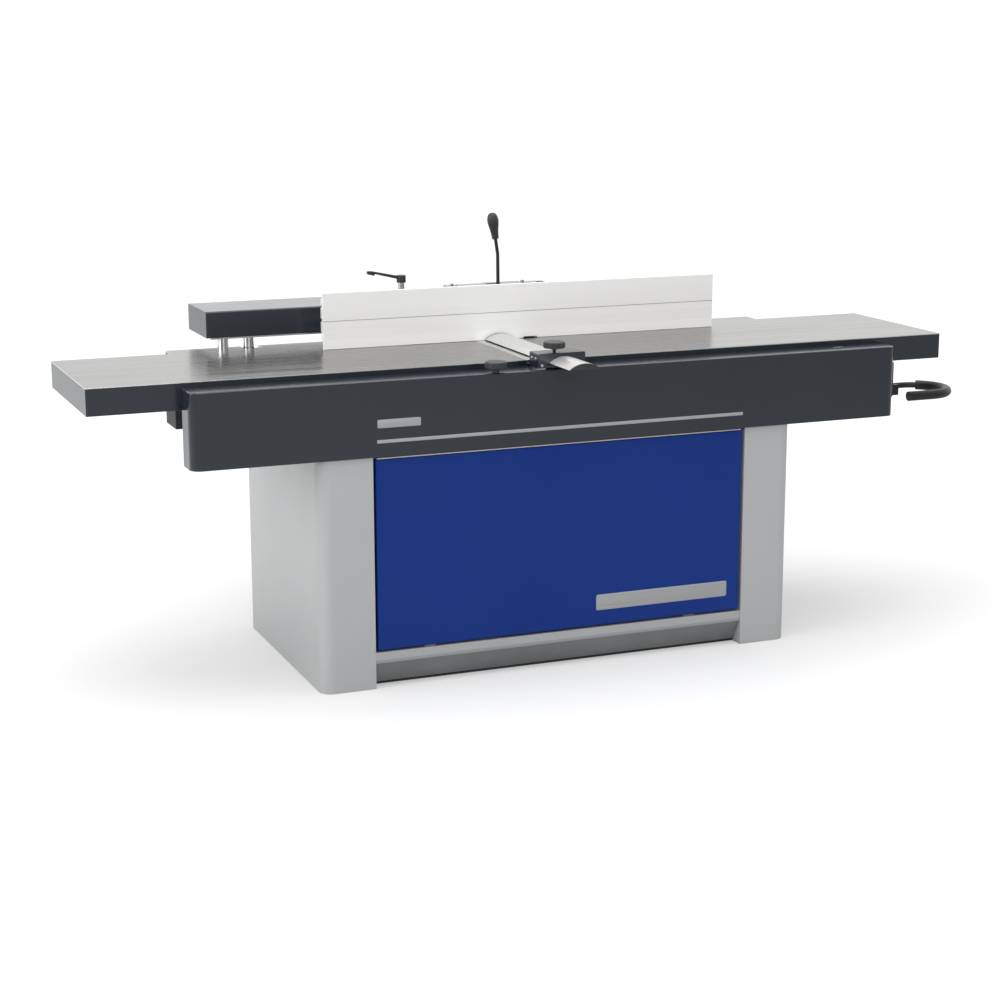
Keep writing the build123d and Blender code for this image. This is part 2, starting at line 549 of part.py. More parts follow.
def base():
    """The base: floor plate, posts, top plate, covers, hood and electrics."""
    edge_x, edge_y = BASE_HALF_X - SHEET - GAP, BASE_HALF_Y - SHEET - GAP
    floor = block(-edge_x, edge_x, -edge_y, edge_y, 0, FLOOR_PLATE)
    floor = fillet(upright_edges(floor, 0), PILLAR_CORNER - SHEET)
    floor = fillet(upright_edges(floor, -1), PILLAR_CORNER - SHEET)
    notch = PLINTH_SLANT + PANEL_RECESS + SHEET + GAP
    for side in (-1, 1):
        x0, x1 = sorted((side * (PILLAR_INNER - GAP), side * (PILLAR_INNER + SHEET + GAP)))
        floor -= block(x0, x1, -BASE_HALF_Y, -BASE_HALF_Y + PILLAR_RETURN + GAP, -CUT, FLOOR_PLATE + CUT)
    floor -= block(-PILLAR_INNER, PILLAR_INNER, -BASE_HALF_Y, -BASE_HALF_Y + notch, -CUT, FLOOR_PLATE + CUT)
    posts = []
    anchor_x, anchor_y = ANCHOR_SPACING
    low, high = FLOOR_PLATE, BASE_TOP - TOP_PLATE
    core = POST / 2 - POST_WALL
    for x in (-1, 1):
        for y in (-1, 1):
            floor -= rod_z(x * anchor_x / 2, y * anchor_y / 2, ANCHOR_R, -CUT, FLOOR_PLATE + CUT)
            cx, cy = x * (BASE_HALF_X - POST), y * (BASE_HALF_Y - POST)
            post = block(cx - POST / 2, cx + POST / 2, cy - POST / 2, cy + POST / 2, low, high)
            posts.append(post - block(cx - core, cx + core, cy - core, cy + core, low - CUT, high + CUT))
    put("base_frame", floor, top_plate(), *posts)
    left = pillar()
    put("pillar_covers", left, mirror(left, Plane.YZ))
    edge = PILLAR_INNER - PANEL_GAP
    put("front_panel", tray(-edge, edge, PANEL_BOTTOM, PANEL_TOP, -BASE_HALF_Y + PANEL_RECESS, 1))
    put("plinth_rail", plinth())
    rear_edge = PILLAR_INNER - GAP
    rear = tray(-rear_edge, rear_edge, FLOOR_PLATE + 2, BASE_TOP - TOP_PLATE - 2, BASE_HALF_Y, -1)
    rear -= rod_y(SPIGOT_X, SPIGOT_Z, SPIGOT_R + GAP, 0, BASE_HALF_Y + CUT)
    vent_width, vent_height = VENT_SLOT
    for i in range(VENT_COUNT):
        z = VENT_BOTTOM + i * 2 * vent_height
        rear -= block(MOTOR_X - vent_width / 2, MOTOR_X + vent_width / 2,
                      0, BASE_HALF_Y + CUT, z, z + vent_height)
    put("rear_panel", rear)
    screws = []
    for x in (-1, -0.4, 0.4, 1):
        for z in (FLOOR_PLATE + 14, BASE_TOP - TOP_PLATE - 14):
            screws.append(rod_y(x * (PILLAR_INNER - 16), z, 7, BASE_HALF_Y, BASE_HALF_Y + 4))
    FASTENERS.extend(screws)
    x0, x1, z0, z1 = ELECTRICS
    front, back = BASE_HALF_Y, BASE_HALF_Y + ELECTRICS_DEPTH
    case = block(x0, x1, front, back, z0, z1)
    case = fillet(case.edges().filter_by(Axis.Y), ELECTRICS_CORNER)
    case -= block(x0 + SHEET, x1 - SHEET, front - CUT, back - SHEET, z0 + SHEET, z1 - SHEET)
    gland_x, gland_y = x0 + GLAND_INSET, (front + back) / 2
    gland = rod_z(gland_x, gland_y, GLAND_R, z0 - GLAND_LENGTH, z0)
    gland += rod_z(gland_x, gland_y, GLAND_R + 4, z0 - GLAND_NUT, z0)
    cable_way = rod_z(gland_x, gland_y, GLAND_BORE_R, z0 - GLAND_LENGTH - CUT, z0 + SHEET + CUT)
    put("electrics_box", case - cable_way)
    put("cable_gland", gland - cable_way)


def hood():
    """The chip hood under the knives and the spigot through the rear panel."""
    y0, y1 = TABLE_FRONT + 14, TABLE_BACK - 8
    slope = [(HOOD_LEFT, HOOD_FLOOR), (-60.0, HOOD_FLOOR), (HOOD_RIGHT, BASE_TOP), (HOOD_RIGHT, HOOD_TOP),
             (CUT_X - KNIFE_R - 40, HOOD_TOP), (HOOD_LEFT, BASE_TOP + 30)]
    outer = prism_y(slope, y0, y1)
    inner = offset(outer, -SHEET)
    body = outer - inner
    top = TABLE_UNDER
    body -= block(CUT_X - KNIFE_R - 30, HOOD_RIGHT - SHEET, y0 + SHEET, y1 - SHEET, HOOD_TOP - 10, top)
    body -= rod_y(SPIGOT_X, SPIGOT_Z, SPIGOT_R - SPIGOT_WALL, y1 - 10, y1 + CUT)
    put("chip_hood", body)
    reach = BASE_HALF_Y + SPIGOT_REACH
    tube = rod_y(SPIGOT_X, SPIGOT_Z, SPIGOT_R, BASE_HALF_Y, reach)
    tube += rod_y(SPIGOT_X, SPIGOT_Z, SPIGOT_R - 1, y1, reach)
    tube += rod_y(SPIGOT_X, SPIGOT_Z, SPIGOT_R + SPIGOT_FLANGE, BASE_HALF_Y, BASE_HALF_Y + SHEET)
    put("extraction_spigot", tube - rod_y(SPIGOT_X, SPIGOT_Z, SPIGOT_R - SPIGOT_WALL, y1 - CUT, reach + CUT))


# ---- apron -----------------------------------------------------------------------------------
def apron():
    """The long sheet-metal apron, open at the back, with its brackets and the switch."""
    body = block(APRON_LEFT, APRON_RIGHT, APRON_FRONT, APRON_BACK, APRON_BOTTOM, APRON_TOP)
    for end in (0, -1):
        upright = body.edges().filter_by(Axis.Z).group_by(Axis.X)[end]
        body = fillet(upright.sort_by(Axis.Y)[0], APRON_CORNER)
    rim = body.faces().sort_by(Axis.Z)[-1].edges().filter_by(lambda e: e.center().Y < APRON_BACK - 1)
    body = fillet(rim, APRON_EDGE)
    s = APRON_SHEET
    hollow = block(APRON_LEFT + s, APRON_RIGHT - s, APRON_FRONT + s, APRON_BACK + CUT,
                   APRON_BOTTOM - CUT, APRON_TOP - s)
    for end in (0, -1):
        upright = hollow.edges().filter_by(Axis.Z).group_by(Axis.X)[end]
        hollow = fillet(upright.sort_by(Axis.Y)[0], APRON_CORNER - s)
    body -= hollow
    body -= rod_z(*HEIGHT_KNOB, SPINDLE_R + CLEAR, APRON_TOP - 10, APRON_TOP + CUT)
    body -= block(POST_X[0] - CLEAR, POST_X[1] + CLEAR, BEAM_Y[0] - CLEAR, BEAM_Y[1] + CLEAR,
                  APRON_TOP - 10, APRON_TOP + CUT)
    put("apron", body)
    brackets = []
    for x in APRON_BRACKETS:
        foot_x = max(-BASE_HALF_X + 60, min(BASE_HALF_X - 60, x))
        y0, y1 = APRON_FRONT + s, APRON_BACK - 2
        low, high = sorted((x, foot_x))
        foot = block(low - 30, high + 30, y0 + 30, y1, BASE_TOP, BASE_TOP + 8)
        web = block(x - 4, x + 4, y0, y1, BASE_TOP, APRON_TOP - s)
        brackets.append(foot + web)
    put("apron_brackets", *brackets)
    depth, width, height = SWITCH_PLATE
    middle = sum(SWITCH_Z) / 2
    plate = block(APRON_RIGHT, APRON_RIGHT + depth, SWITCH_Y - width / 2, SWITCH_Y + width / 2,
                  middle - height / 2, middle + height / 2)
    plate = fillet(plate.edges().filter_by(Axis.X), 6)
    face = APRON_RIGHT + depth
    for z in SWITCH_Z:
        plate -= rod_x(SWITCH_Y, z, BUTTON_R + GAP, face - 8, face + CUT)
    put("switch_plate", plate)
    rest = face - 8 + BUTTON_TRAVEL + GAP
    for name, z in zip(("start_button", "stop_button"), SWITCH_Z):
        button = rod_x(SWITCH_Y, z, BUTTON_R, rest, rest + BUTTON_LENGTH)
        put(name, fillet(button.edges().group_by(Axis.X)[-1], 1.5))


# ---- table supports --------------------------------------------------------------------------
def supports():
    """Channels under the outfeed table and plates under the infeed table."""
    arms = []
    for y0, y1 in OUT_ARM_Y:
        arm = block(OUT_ARM_LEFT, OUT_ARM_RIGHT, y0, y1, ARM_BOTTOM, TABLE_UNDER)
        arm -= block(OUT_ARM_LEFT + ARM_WALL, OUT_ARM_RIGHT - ARM_WALL, y0 + ARM_WALL, y1 - ARM_WALL,
                     ARM_BOTTOM - CUT, TABLE_UNDER - ARM_WALL)
        for x in (OUT_ARM_RIGHT - 60, -BASE_HALF_X + 90):
            arm += block(x - 45, x + 45, y0, y1, BASE_TOP, ARM_BOTTOM + 12)
        arms.append(arm)
    plates = []
    for y in IN_ARM_Y:
        y0, y1 = y - IN_ARM_THICK / 2, y + IN_ARM_THICK / 2
        plate = block(IN_ARM_LEFT, IN_ARM_RIGHT, y0, y1, BASE_TOP + 12, IN_ARM_TOP)
        for x in (IN_ARM_LEFT + 60, BASE_HALF_X - 90):
            plate += block(x - 45, x + 45, y0 - 15, y1 + 15, BASE_TOP, BASE_TOP + 14)
        for x in SHAFT_X:
            plate -= rod_y(x, SHAFT_Z, SHAFT_R + RUN, y0 - CUT, y1 + CUT)
        plates.append(plate)
    put("table_support_arms", *arms, *plates)


def disc_places():
    """Y ranges of the lifting discs, just outside the support plates."""
    out = IN_ARM_THICK / 2 + DISC_ROOM
    front, back = IN_ARM_Y[0] - out, IN_ARM_Y[1] + out
    return (front - DISC_WIDTH, front), (back, back + DISC_WIDTH)


def eccentric_shaft(x):
    """A shaft with two offset discs and a crank."""
    (_, front), (back, _) = disc_places()
    body = rod_y(x, SHAFT_Z, SHAFT_R, front, back)
    dx, dz = THROW * cos(radians(DISC_ANGLE)), THROW * sin(radians(DISC_ANGLE))
    for a, b in disc_places():
        body += rod_y(x + dx, SHAFT_Z + dz, DISC_R, a, b)
    y1 = CRANK_Y + CRANK_THICK
    body += rod_y(x, SHAFT_Z, SHAFT_R + 10, CRANK_Y, y1)
    body += block(x - 14, x + 14, CRANK_Y, y1, SHAFT_Z - CRANK, SHAFT_Z)
    body += rod_y(x, SHAFT_Z - CRANK, 14, CRANK_Y, y1)
    return body + rod_y(x, SHAFT_Z - CRANK, CRANK_PIN_R, y1, y1 + CRANK_THICK + 6)


def disc_offset():
    """How far the middle of a lug's bore lies from its shaft, along X and Z."""
    middle = radians(DISC_ANGLE - LEVER_SWING / 2)
    return (THROW * cos(radians(DISC_ANGLE)) + DISC_SAG / 2 * cos(middle),
            THROW * sin(radians(DISC_ANGLE)) + DISC_SAG / 2 * sin(middle))


def depth_gear():
    """The lifting shafts, their lugs under the infeed table, the tie rod, lever and handle."""
    put("inner_lift_shaft", eccentric_shaft(SHAFT_X[0]))
    put("outer_lift_shaft", eccentric_shaft(SHAFT_X[1]))
    offset_x, offset_z = disc_offset()
    lugs = []
    for x in SHAFT_X:
        for a, b in disc_places():
            lug = block(x - LUG_HALF + offset_x, x + LUG_HALF + offset_x, a, b, LUG_BOTTOM, TABLE_UNDER)
            bore = DISC_R + DISC_SAG / 2 + GAP
            lugs.append(lug - rod_y(x + offset_x, SHAFT_Z + offset_z, bore, a - CUT, b + CUT))
    put("infeed_lift_lugs", *lugs)
    y0 = CRANK_Y + CRANK_THICK + GAP
    y1 = y0 + CRANK_THICK
    z = SHAFT_Z - CRANK
    tie = block(SHAFT_X[0], SHAFT_X[1], y0, y1, z - 8, z + 8)
    for x in SHAFT_X:
        tie += rod_y(x, z, TIE_EYE_R, y0, y1)
    for x, room in zip(SHAFT_X, (GAP, RUN)):
        tie -= rod_y(x, z, CRANK_PIN_R + room, y0 - CUT, y1 + CUT)
    put("depth_tie_rod", tie)
    y0, y1 = LEVER_Y - LEVER_THICK / 2, LEVER_Y + LEVER_THICK / 2
    x = SHAFT_X[1]
    low, high = LEVER_BAR
    bend = x + 165
    lever = prism_y([(x - 16, SHAFT_Z - 28), (x + 16, SHAFT_Z + 28), (bend, high + 2), (LEVER_END, high),
                     (LEVER_END, low), (bend, low)], y0, y1)
    lever += rod_y(x, SHAFT_Z, SHAFT_R + 14, y0, y1)
    lever += block(LEVER_END - 26, LEVER_END, y0, y1, low, HANDLE_Z + 7)
    put("depth_lever", lever - rod_y(x, SHAFT_Z, SHAFT_R + SEAT, y0 - CUT, y1 + CUT))
    far_y = y1 + GAP + HANDLE_R
    radius = (far_y - HANDLE_NEAR_Y) / 2
    grip_turn = 60
    path = Line((HANDLE_START, far_y, HANDLE_Z), (HANDLE_BEND_X, far_y, HANDLE_Z))
    centre = Vector(HANDLE_BEND_X, far_y - radius, HANDLE_Z)
    arc = ThreePointArc(path @ 1, centre + Vector(radius, 0, 0), (HANDLE_BEND_X, HANDLE_NEAR_Y, HANDLE_Z))
    near = Line(arc @ 1, (HANDLE_NEAR_X + 12, HANDLE_NEAR_Y, HANDLE_Z))
    route = Wire([path, arc, near])
    put("depth_handle", sweep(Plane(origin=path @ 0, z_dir=path % 0) * Circle(HANDLE_R), path=route))
    start = centre + Vector(radius * cos(radians(grip_turn)), radius * sin(radians(grip_turn)), 0)
    half = radians((grip_turn - 90) / 2)
    through = centre + Vector(radius * cos(half), radius * sin(half), 0)
    sleeve_arc = ThreePointArc(start, through, (HANDLE_BEND_X, HANDLE_NEAR_Y, HANDLE_Z))
    sleeve_leg = Line(sleeve_arc @ 1, (HANDLE_NEAR_X, HANDLE_NEAR_Y, HANDLE_Z))
    sleeve_path = Wire([sleeve_arc, sleeve_leg])
    mouth = Plane(origin=sleeve_arc @ 0, z_dir=sleeve_arc % 0)
    grip = sweep(mouth * Circle(GRIP_R), path=sleeve_path)
    put("handle_grip", grip - sweep(mouth * Circle(HANDLE_R + SEAT), path=sleeve_path)
        + rod_x(HANDLE_NEAR_Y, HANDLE_Z, GRIP_R, HANDLE_NEAR_X, HANDLE_NEAR_X + 10))


# ---- fence -----------------------------------------------------------------------------------
def fence_outline():
    """The fence extrusion's section: (back from the face, up from the foot)."""
    low, high = FENCE_BODY
    face = make_face(Polyline((0, 0), (FENCE_PLATE, 0), (FENCE_PLATE, low), (FENCE_THICK, low),
                              (FENCE_THICK, high), (FENCE_TOP_THICK, high + 4), (FENCE_TOP_THICK, FENCE_HEIGHT),
                              (0, FENCE_HEIGHT), close=True))
    mouth, inner, depth = FENCE_SLOT
    for share in (0.17, 0.5, 0.83):
        height = low + (high - low) * share
        face -= Pos(FENCE_THICK, height) * Rectangle(12, mouth)
        face -= Pos(FENCE_THICK - 4 - depth / 2, height) * Rectangle(depth, inner)
    for share in (0.335, 0.665):
        height = low + (high - low) * share
        face -= Pos(FENCE_PLATE + (FENCE_THICK - FENCE_PLATE) / 2 - 1, height) * Rectangle(9, 18)
    return face - Pos(0, GROOVE_HEIGHT) * Rectangle(1.2, 1.6)


def fence():
    """The fence, its hinge pins, the two arms, guide bars, cross bar and the rear cutter cover."""
    end = FENCE_LEFT + FENCE_LENGTH
    section = Plane.YZ.offset(FENCE_LEFT) * (Pos(FENCE_FACE, FENCE_FOOT) * fence_outline())
    body = extrude(section, FENCE_LENGTH)
    half = ARM_WIDTH / 2 + CLEAR
    for x in ARM_X:
        for side in (-1, 1):
            x0, x1 = sorted((x + side * half, x + side * KNUCKLE_REACH))
            body += rod_x(HINGE_Y, HINGE_Z, KNUCKLE_R, x0, x1)
            body += block(x0, x1, FENCE_FACE + FENCE_PLATE - 1, HINGE_Y, FENCE_FOOT, HINGE_Z + 6)
        body -= rod_x(HINGE_Y, HINGE_Z, HINGE_PIN_R + SEAT, x - KNUCKLE_REACH - CUT, x + KNUCKLE_REACH + CUT)
    x = ARM_X[1]
    body -= block(x - FOOT_NOTCH / 2, x + FOOT_NOTCH / 2, FENCE_FACE - CUT, FENCE_FACE + FENCE_PLATE + 0.5,
                  FENCE_FOOT - CUT, FENCE_FOOT + 4)
    put("fence_panel", body)
    reach = KNUCKLE_REACH
    put("fence_hinge_pins", *[rod_x(HINGE_Y, HINGE_Z, HINGE_PIN_R, x - reach, x + reach) for x in ARM_X])
    put("fence_guide_bars", *[rod_y(x, BAR_Z, BAR_R, BAR_FRONT, BAR_FRONT + BAR_LENGTH) for x in ARM_X])
    low, high = ARM_X[0] + ARM_WIDTH / 2, ARM_X[1] - ARM_WIDTH / 2
    crossbar = block(low, high, BAR_FRONT, ARM_BACK - 2, HINGE_Z + 4, BAR_Z - BAR_R - BAR_CLAMP_WALL)
    put("fence_carriage", crossbar, *[fence_arm(x) for x in ARM_X])
    cover_z = HINGE_Z + 4 - REAR_COVER_THICK
    put("rear_cutter_cover", block(*REAR_COVER, BAR_FRONT - 62, REAR_COVER_BACK,
                                   cover_z, cover_z + REAR_COVER_THICK))


def fence_arm(x):
    """An arm from the hinge line back to the clamp round a guide bar."""
    foot = TABLE_TOP + 1
    points = [(HINGE_Y, foot), (ARM_BACK, foot + 2), (ARM_BACK, BAR_Z + 20), (BAR_FRONT, BAR_Z + 16),
              (HINGE_Y + 25.5, HINGE_Z + 3), (HINGE_Y, HINGE_Z + 3)]
    body = prism_x(points, x - ARM_WIDTH / 2, x + ARM_WIDTH / 2)
    body += rod_x(HINGE_Y, HINGE_Z, KNUCKLE_R, x - ARM_WIDTH / 2, x + ARM_WIDTH / 2)
    body += block(x - ARM_WIDTH / 2 - 6, x + ARM_WIDTH / 2, BAR_FRONT + 2, ARM_BACK,
                  BAR_Z - BAR_R - BAR_CLAMP_WALL, BAR_Z + 20)
    body -= rod_y(x, BAR_Z, BAR_R + SEAT, BAR_FRONT, ARM_BACK + CUT)
    return body - rod_x(HINGE_Y, HINGE_Z, HINGE_PIN_R + RUN, x - ARM_WIDTH, x + ARM_WIDTH)


# ---- bridge behind the fence -------------------------------------------------------------------
def bridge():
    """The covered bridge on two columns, the pedestal, bushes and the slotted plate."""
    cover = block(BRIDGE_LEFT, BRIDGE_RIGHT, BRIDGE_FRONT, BRIDGE_BACK, BRIDGE_BOTTOM, BRIDGE_TOP)
    cover = fillet(cover.edges().filter_by(Axis.X).group_by(Axis.Z)[-1], BRIDGE_EDGE)
    cover -= block(BRIDGE_LEFT + SHEET, BRIDGE_RIGHT - SHEET, BRIDGE_FRONT + SHEET, BRIDGE_BACK - SHEET,
                   BRIDGE_BOTTOM - CUT, BRIDGE_TOP - SHEET)
    cover -= rod_y(ARM_X[0], BAR_Z, BAR_R + CLEAR, BRIDGE_FRONT - CUT, BRIDGE_BACK + CUT)
    cover -= rod_z(ARM_X[0], CLAMP_Y, 10 + GAP, BRIDGE_TOP - 10, BRIDGE_TOP + CUT)
    put("bridge_cover", cover)
    under = BRIDGE_BOTTOM - BRIDGE_PLATE
    put("bridge_base_plate", block(BRIDGE_LEFT + BRIDGE_INSET, PEDESTAL[0], BRIDGE_FRONT + 1, BRIDGE_BACK - 1,
                                   under, BRIDGE_BOTTOM))
    put("bridge_columns", rod_z(COLUMN_X[0], COLUMN_Y, COLUMN_R, TABLE_TOP, under),
        rod_z(COLUMN_X[1], COLUMN_Y, COLUMN_R, EXTENSION_UNDER, under))
    column_foot = block(COLUMN_X[0] - 32, COLUMN_X[1] + 34, TABLE_BACK, EXTENSION_BACK,
                        EXTENSION_UNDER - EXTENSION_DEPTH + 2, EXTENSION_UNDER)
    bush_r = BAR_R + BUSH_WALL
    carrier_front, carrier_back = BRIDGE_FRONT + 9, BRIDGE_BACK - 12
    carrier = block(ARM_X[0] - 45, ARM_X[0] + 45, carrier_front, carrier_back, BRIDGE_BOTTOM, BAR_Z + 36)
    carrier -= rod_y(ARM_X[0], BAR_Z, bush_r + SEAT, BRIDGE_FRONT, BRIDGE_BACK)
    carrier -= rod_z(ARM_X[0], CLAMP_Y, 8 + RUN, BAR_Z + bush_r - 8, BAR_Z + 40)
    put("bridge_blocks", carrier, column_foot)
    places = [(ARM_X[0], carrier_front), (ARM_X[0], carrier_back - BUSH_LENGTH),
              (ARM_X[1], PEDESTAL_HEAD[0]), (ARM_X[1], PEDESTAL_HEAD[1] - BUSH_LENGTH)]
    bushes = []
    for x, y in places:
        end = y + BUSH_LENGTH
        bushes.append(rod_y(x, BAR_Z, bush_r, y, end) - rod_y(x, BAR_Z, BAR_R + RUN, y - CUT, end + CUT))
    put("guide_bushes", *bushes)
    put("fence_pedestal", pedestal(bush_r))
    plate_under = SLOT_PLATE_TOP - SLOT_PLATE_THICK
    x0, x1 = SLOT_PLATE
    y0, y1 = SLOT_PLATE_Y
    slope = 14
    outline = make_face(Polyline((x0, y0), (x1, y0), (x1, y1), (x0 + slope, y1), close=True))
    plate = extrude(Plane.XY.offset(plate_under) * outline, SLOT_PLATE_THICK)
    reach = (SLOT_PLATE_TOP - LOCK_Z) * sin(radians(LOCK_SWING)) + LOCK_ROD_R + 4
    plate -= block(LOCK_X - reach - 22, LOCK_X + LOCK_ROD_R + 4, LOCK_Y - 9, LOCK_Y + 9,
                   plate_under - CUT, SLOT_PLATE_TOP + CUT)
    plate += block(x0 + 20, BRIDGE_RIGHT - 8, y0 + 10, y1 - 10, BRIDGE_TOP, plate_under + 1)
    put("slotted_plate", plate)


def pedestal(bush_r):
    """The cast pedestal that carries the right guide bar and the lock lever."""
    x0, x1 = PEDESTAL
    top = SLOT_PLATE_TOP - SLOT_PLATE_THICK
    body = block(x0, x1, *PEDESTAL_LEG, BASE_TOP, PEDESTAL_HEAD_BOTTOM + 1)
    body += block(x0, x1, *PEDESTAL_HEAD, PEDESTAL_HEAD_BOTTOM, top)
    body += block(x0 - 20, x1 + 30, PEDESTAL_LEG[0], BASE_HALF_Y - SHEET - 4, BASE_TOP, BASE_TOP + 14)
    shelf = BRIDGE_BOTTOM - BRIDGE_PLATE
    body += block(x0 - 20, x0 + 1, *PEDESTAL_LEG, shelf - 24, shelf)
    body -= rod_y(ARM_X[1], BAR_Z, bush_r + SEAT, PEDESTAL_HEAD[0] - CUT, PEDESTAL_HEAD[1] + CUT)
    body -= block(LOCK_X - 24, LOCK_X + 17, LOCK_Y - 16, LOCK_Y + 16, LOCK_Z - 22, top + CUT)
    return body - rod_y(LOCK_X, LOCK_Z, 8 + RUN, PEDESTAL_HEAD[0] - CUT, LOCK_Y + 40)


def levers():
    """The ratchet clamp lever on the bridge and the tall lock lever on the pedestal."""
    x, y = ARM_X[0], CLAMP_Y
    low, high = CLAMP_HUB
    stud = rod_z(x, y, 8, BAR_Z + BAR_R + BUSH_WALL + 2, high - 8) + rod_z(x, y, 10, BRIDGE_TOP - 6, low)
    hub = rod_z(x, y, CLAMP_HUB_R, low, high)
    hub = fillet(hub.edges().group_by(Axis.Z)[-1], 2)
    FASTENERS.append(stud - rod_z(x, y, 9, low, high))
    dx, tip_z = CLAMP_TIP
    arm = prism_y([(x, low + 8), (x, high - 4), (x + dx * 0.86, tip_z + 2), (x + dx, tip_z + 3),
                   (x + dx, tip_z - 7), (x + dx * 0.82, tip_z - 12), (x + dx * 0.78, tip_z - 7)], y - 6, y + 6)
    arm = fillet(arm.edges().filter_by(Axis.Y).group_by(Axis.X)[0], 4)
    hub = hub + arm - rod_z(x, y, 8 + SEAT, low - CUT, high - 7)
    put("bridge_clamp_lever", hub)
    bend = Vector(LOCK_X - 1, LOCK_Y, LOCK_BEND_Z)
    top = Vector(LOCK_TOP[0], LOCK_Y, LOCK_TOP[1])
    slant = (top - bend).normalized()
    knob_foot = top - slant * LOCK_KNOB_LENGTH
    route = FilletPolyline((LOCK_X, LOCK_Y, LOCK_Z), bend, knob_foot + slant * 30, radius=LOCK_BEND_R)
    rod = sweep(Plane(origin=route @ 0, z_dir=route % 0) * Circle(LOCK_ROD_R), path=route)
    rod += rod_y(LOCK_X, LOCK_Z, 12, LOCK_Y - 13, LOCK_Y + 13)
    rod += rod_y(LOCK_X, LOCK_Z, 8, PEDESTAL_HEAD[0] - 6, LOCK_Y + 38)
    put("lock_lever", rod)
    low_r, high_r = LOCK_KNOB_R
    outline = make_face([
        Line((0, 0), (low_r - 1, 0)), Line((low_r - 1, 0), (low_r, 4)),
        Spline((low_r, 4), (high_r, LOCK_KNOB_LENGTH - high_r), (0, LOCK_KNOB_LENGTH),
               tangents=((0.05, 1), (-1, 0))), Line((0, LOCK_KNOB_LENGTH), (0, 0))])
    knob = revolve(Plane.XZ * outline, Axis.Z)
    knob = Plane(origin=knob_foot, z_dir=slant, x_dir=(0, 1, 0)) * knob
    put("lock_lever_knob", knob - rod)


# ---- bridge guard ------------------------------------------------------------------------------
def arch(width, rise, low, floor=None):
    """A closed arch outline in X and Z, its chord at height low (or its legs down to floor)."""
    half = width / 2
    arc = ThreePointArc((GUARD_X - half, low), (GUARD_X, low + rise), (GUARD_X + half, low))
    foot = low if floor is None else floor
    lines = [Line(arc @ 1, arc @ 0)] if floor is None else [
        Line(arc @ 1, (GUARD_X + half, foot)), Line((GUARD_X + half, foot), (GUARD_X - half, foot)),
        Line((GUARD_X - half, foot), arc @ 0)]
    return make_face([arc, *lines])


def along_y(face, y0, y1):
    """A face drawn in X and Z, carried from y0 to y1."""
    return extrude(Plane.XZ.offset(-y1) * face, y1 - y0)


def guard():
    """The bridge guard, its end caps, holder, height gear and both knobs."""
    front = GUARD_BACK - GUARD_LENGTH
    shell = along_y(arch(GUARD_WIDTH, GUARD_RISE, GUARD_FOOT), front + GUARD_CAP, GUARD_BACK - GUARD_CAP)
    inner_width = GUARD_WIDTH - 4 * GUARD_THICK
    inner = arch(inner_width, GUARD_RISE - GUARD_THICK, GUARD_FOOT, GUARD_FOOT - CUT)
    shell -= along_y(inner, front, GUARD_BACK)
    put("guard_arm", shell)
    cap = arch(GUARD_WIDTH, GUARD_RISE, GUARD_FOOT)
    put("guard_end_caps", along_y(cap, front, front + GUARD_CAP),
        along_y(cap, GUARD_BACK - GUARD_CAP, GUARD_BACK))
    put("guard_holder", holder())
    left, low, height = BEAM
    beam = block(left, POST_X[1], *BEAM_Y, low, low + height)
    beam += block(*POST_X, *BEAM_Y, low, GUARD_FOOT - JAW - 6)
    beam -= rod_z(*HEIGHT_KNOB, SPINDLE_R + RUN, low - CUT, low + height + CUT)
    for x in ROD_X:
        beam -= rod_z(x, ROD_Y, ROD_R + RUN, low - CUT, low + height + CUT)
    put("guard_lift_beam", beam)
    foot = block(*FOOT_X, BEAM_Y[0], BEAM_Y[1] + 4, BASE_TOP, BASE_TOP + FOOT_THICK)
    rod_top = APRON_TOP - APRON_SHEET - GAP
    put("guard_lift_stand", foot, *[rod_z(x, ROD_Y, ROD_R, BASE_TOP + FOOT_THICK, rod_top) for x in ROD_X])
    x, y = CLAMP_KNOB
    base_z = HOLDER_TOP + CLAMP_KNOB_LIFT
    knob = star_knob(x, y, base_z) + rod_z(x, y, KNOB_STEM_R, guard_top_at(x) + GAP + 1, base_z + 2)
    put("guard_clamp_knob", knob + rod_z(x, y, KNOB_STEM_R + 4, base_z - 5, base_z + 1))
    x, y = HEIGHT_KNOB
    base_z = APRON_TOP + HEIGHT_KNOB_LIFT
    knob = star_knob(x, y, base_z) + rod_z(x, y, SPINDLE_COLLAR_R, APRON_TOP + GAP, base_z + 1)
    put("guard_height_knob", knob + rod_z(x, y, SPINDLE_R, BASE_TOP + FOOT_THICK + GAP, base_z))


def guard_top_at(x):
    """Height of the guard's upper face at x."""
    half = GUARD_WIDTH / 2
    radius = (half ** 2 + GUARD_RISE ** 2) / (2 * GUARD_RISE)
    return GUARD_CROWN - radius + sqrt(radius ** 2 - (x - GUARD_X) ** 2)


def star_knob(x, y, z):
    """A round hand knob with a grooved rim and a domed top."""
    body = rod_z(x, y, KNOB_R, z, z + KNOB_THICK)
    body = fillet(body.edges().group_by(Axis.Z)[-1], 5)
    body = fillet(body.edges().group_by(Axis.Z)[0], 2)
    ring = KNOB_R + KNOB_GROOVE[1]
    for i in range(KNOB_GROOVES):
        angle = radians(i * 360 / KNOB_GROOVES)
        body -= rod_z(x + ring * cos(angle), y + ring * sin(angle), KNOB_GROOVE[0],
                      z - CUT, z + KNOB_THICK + CUT)
    return body


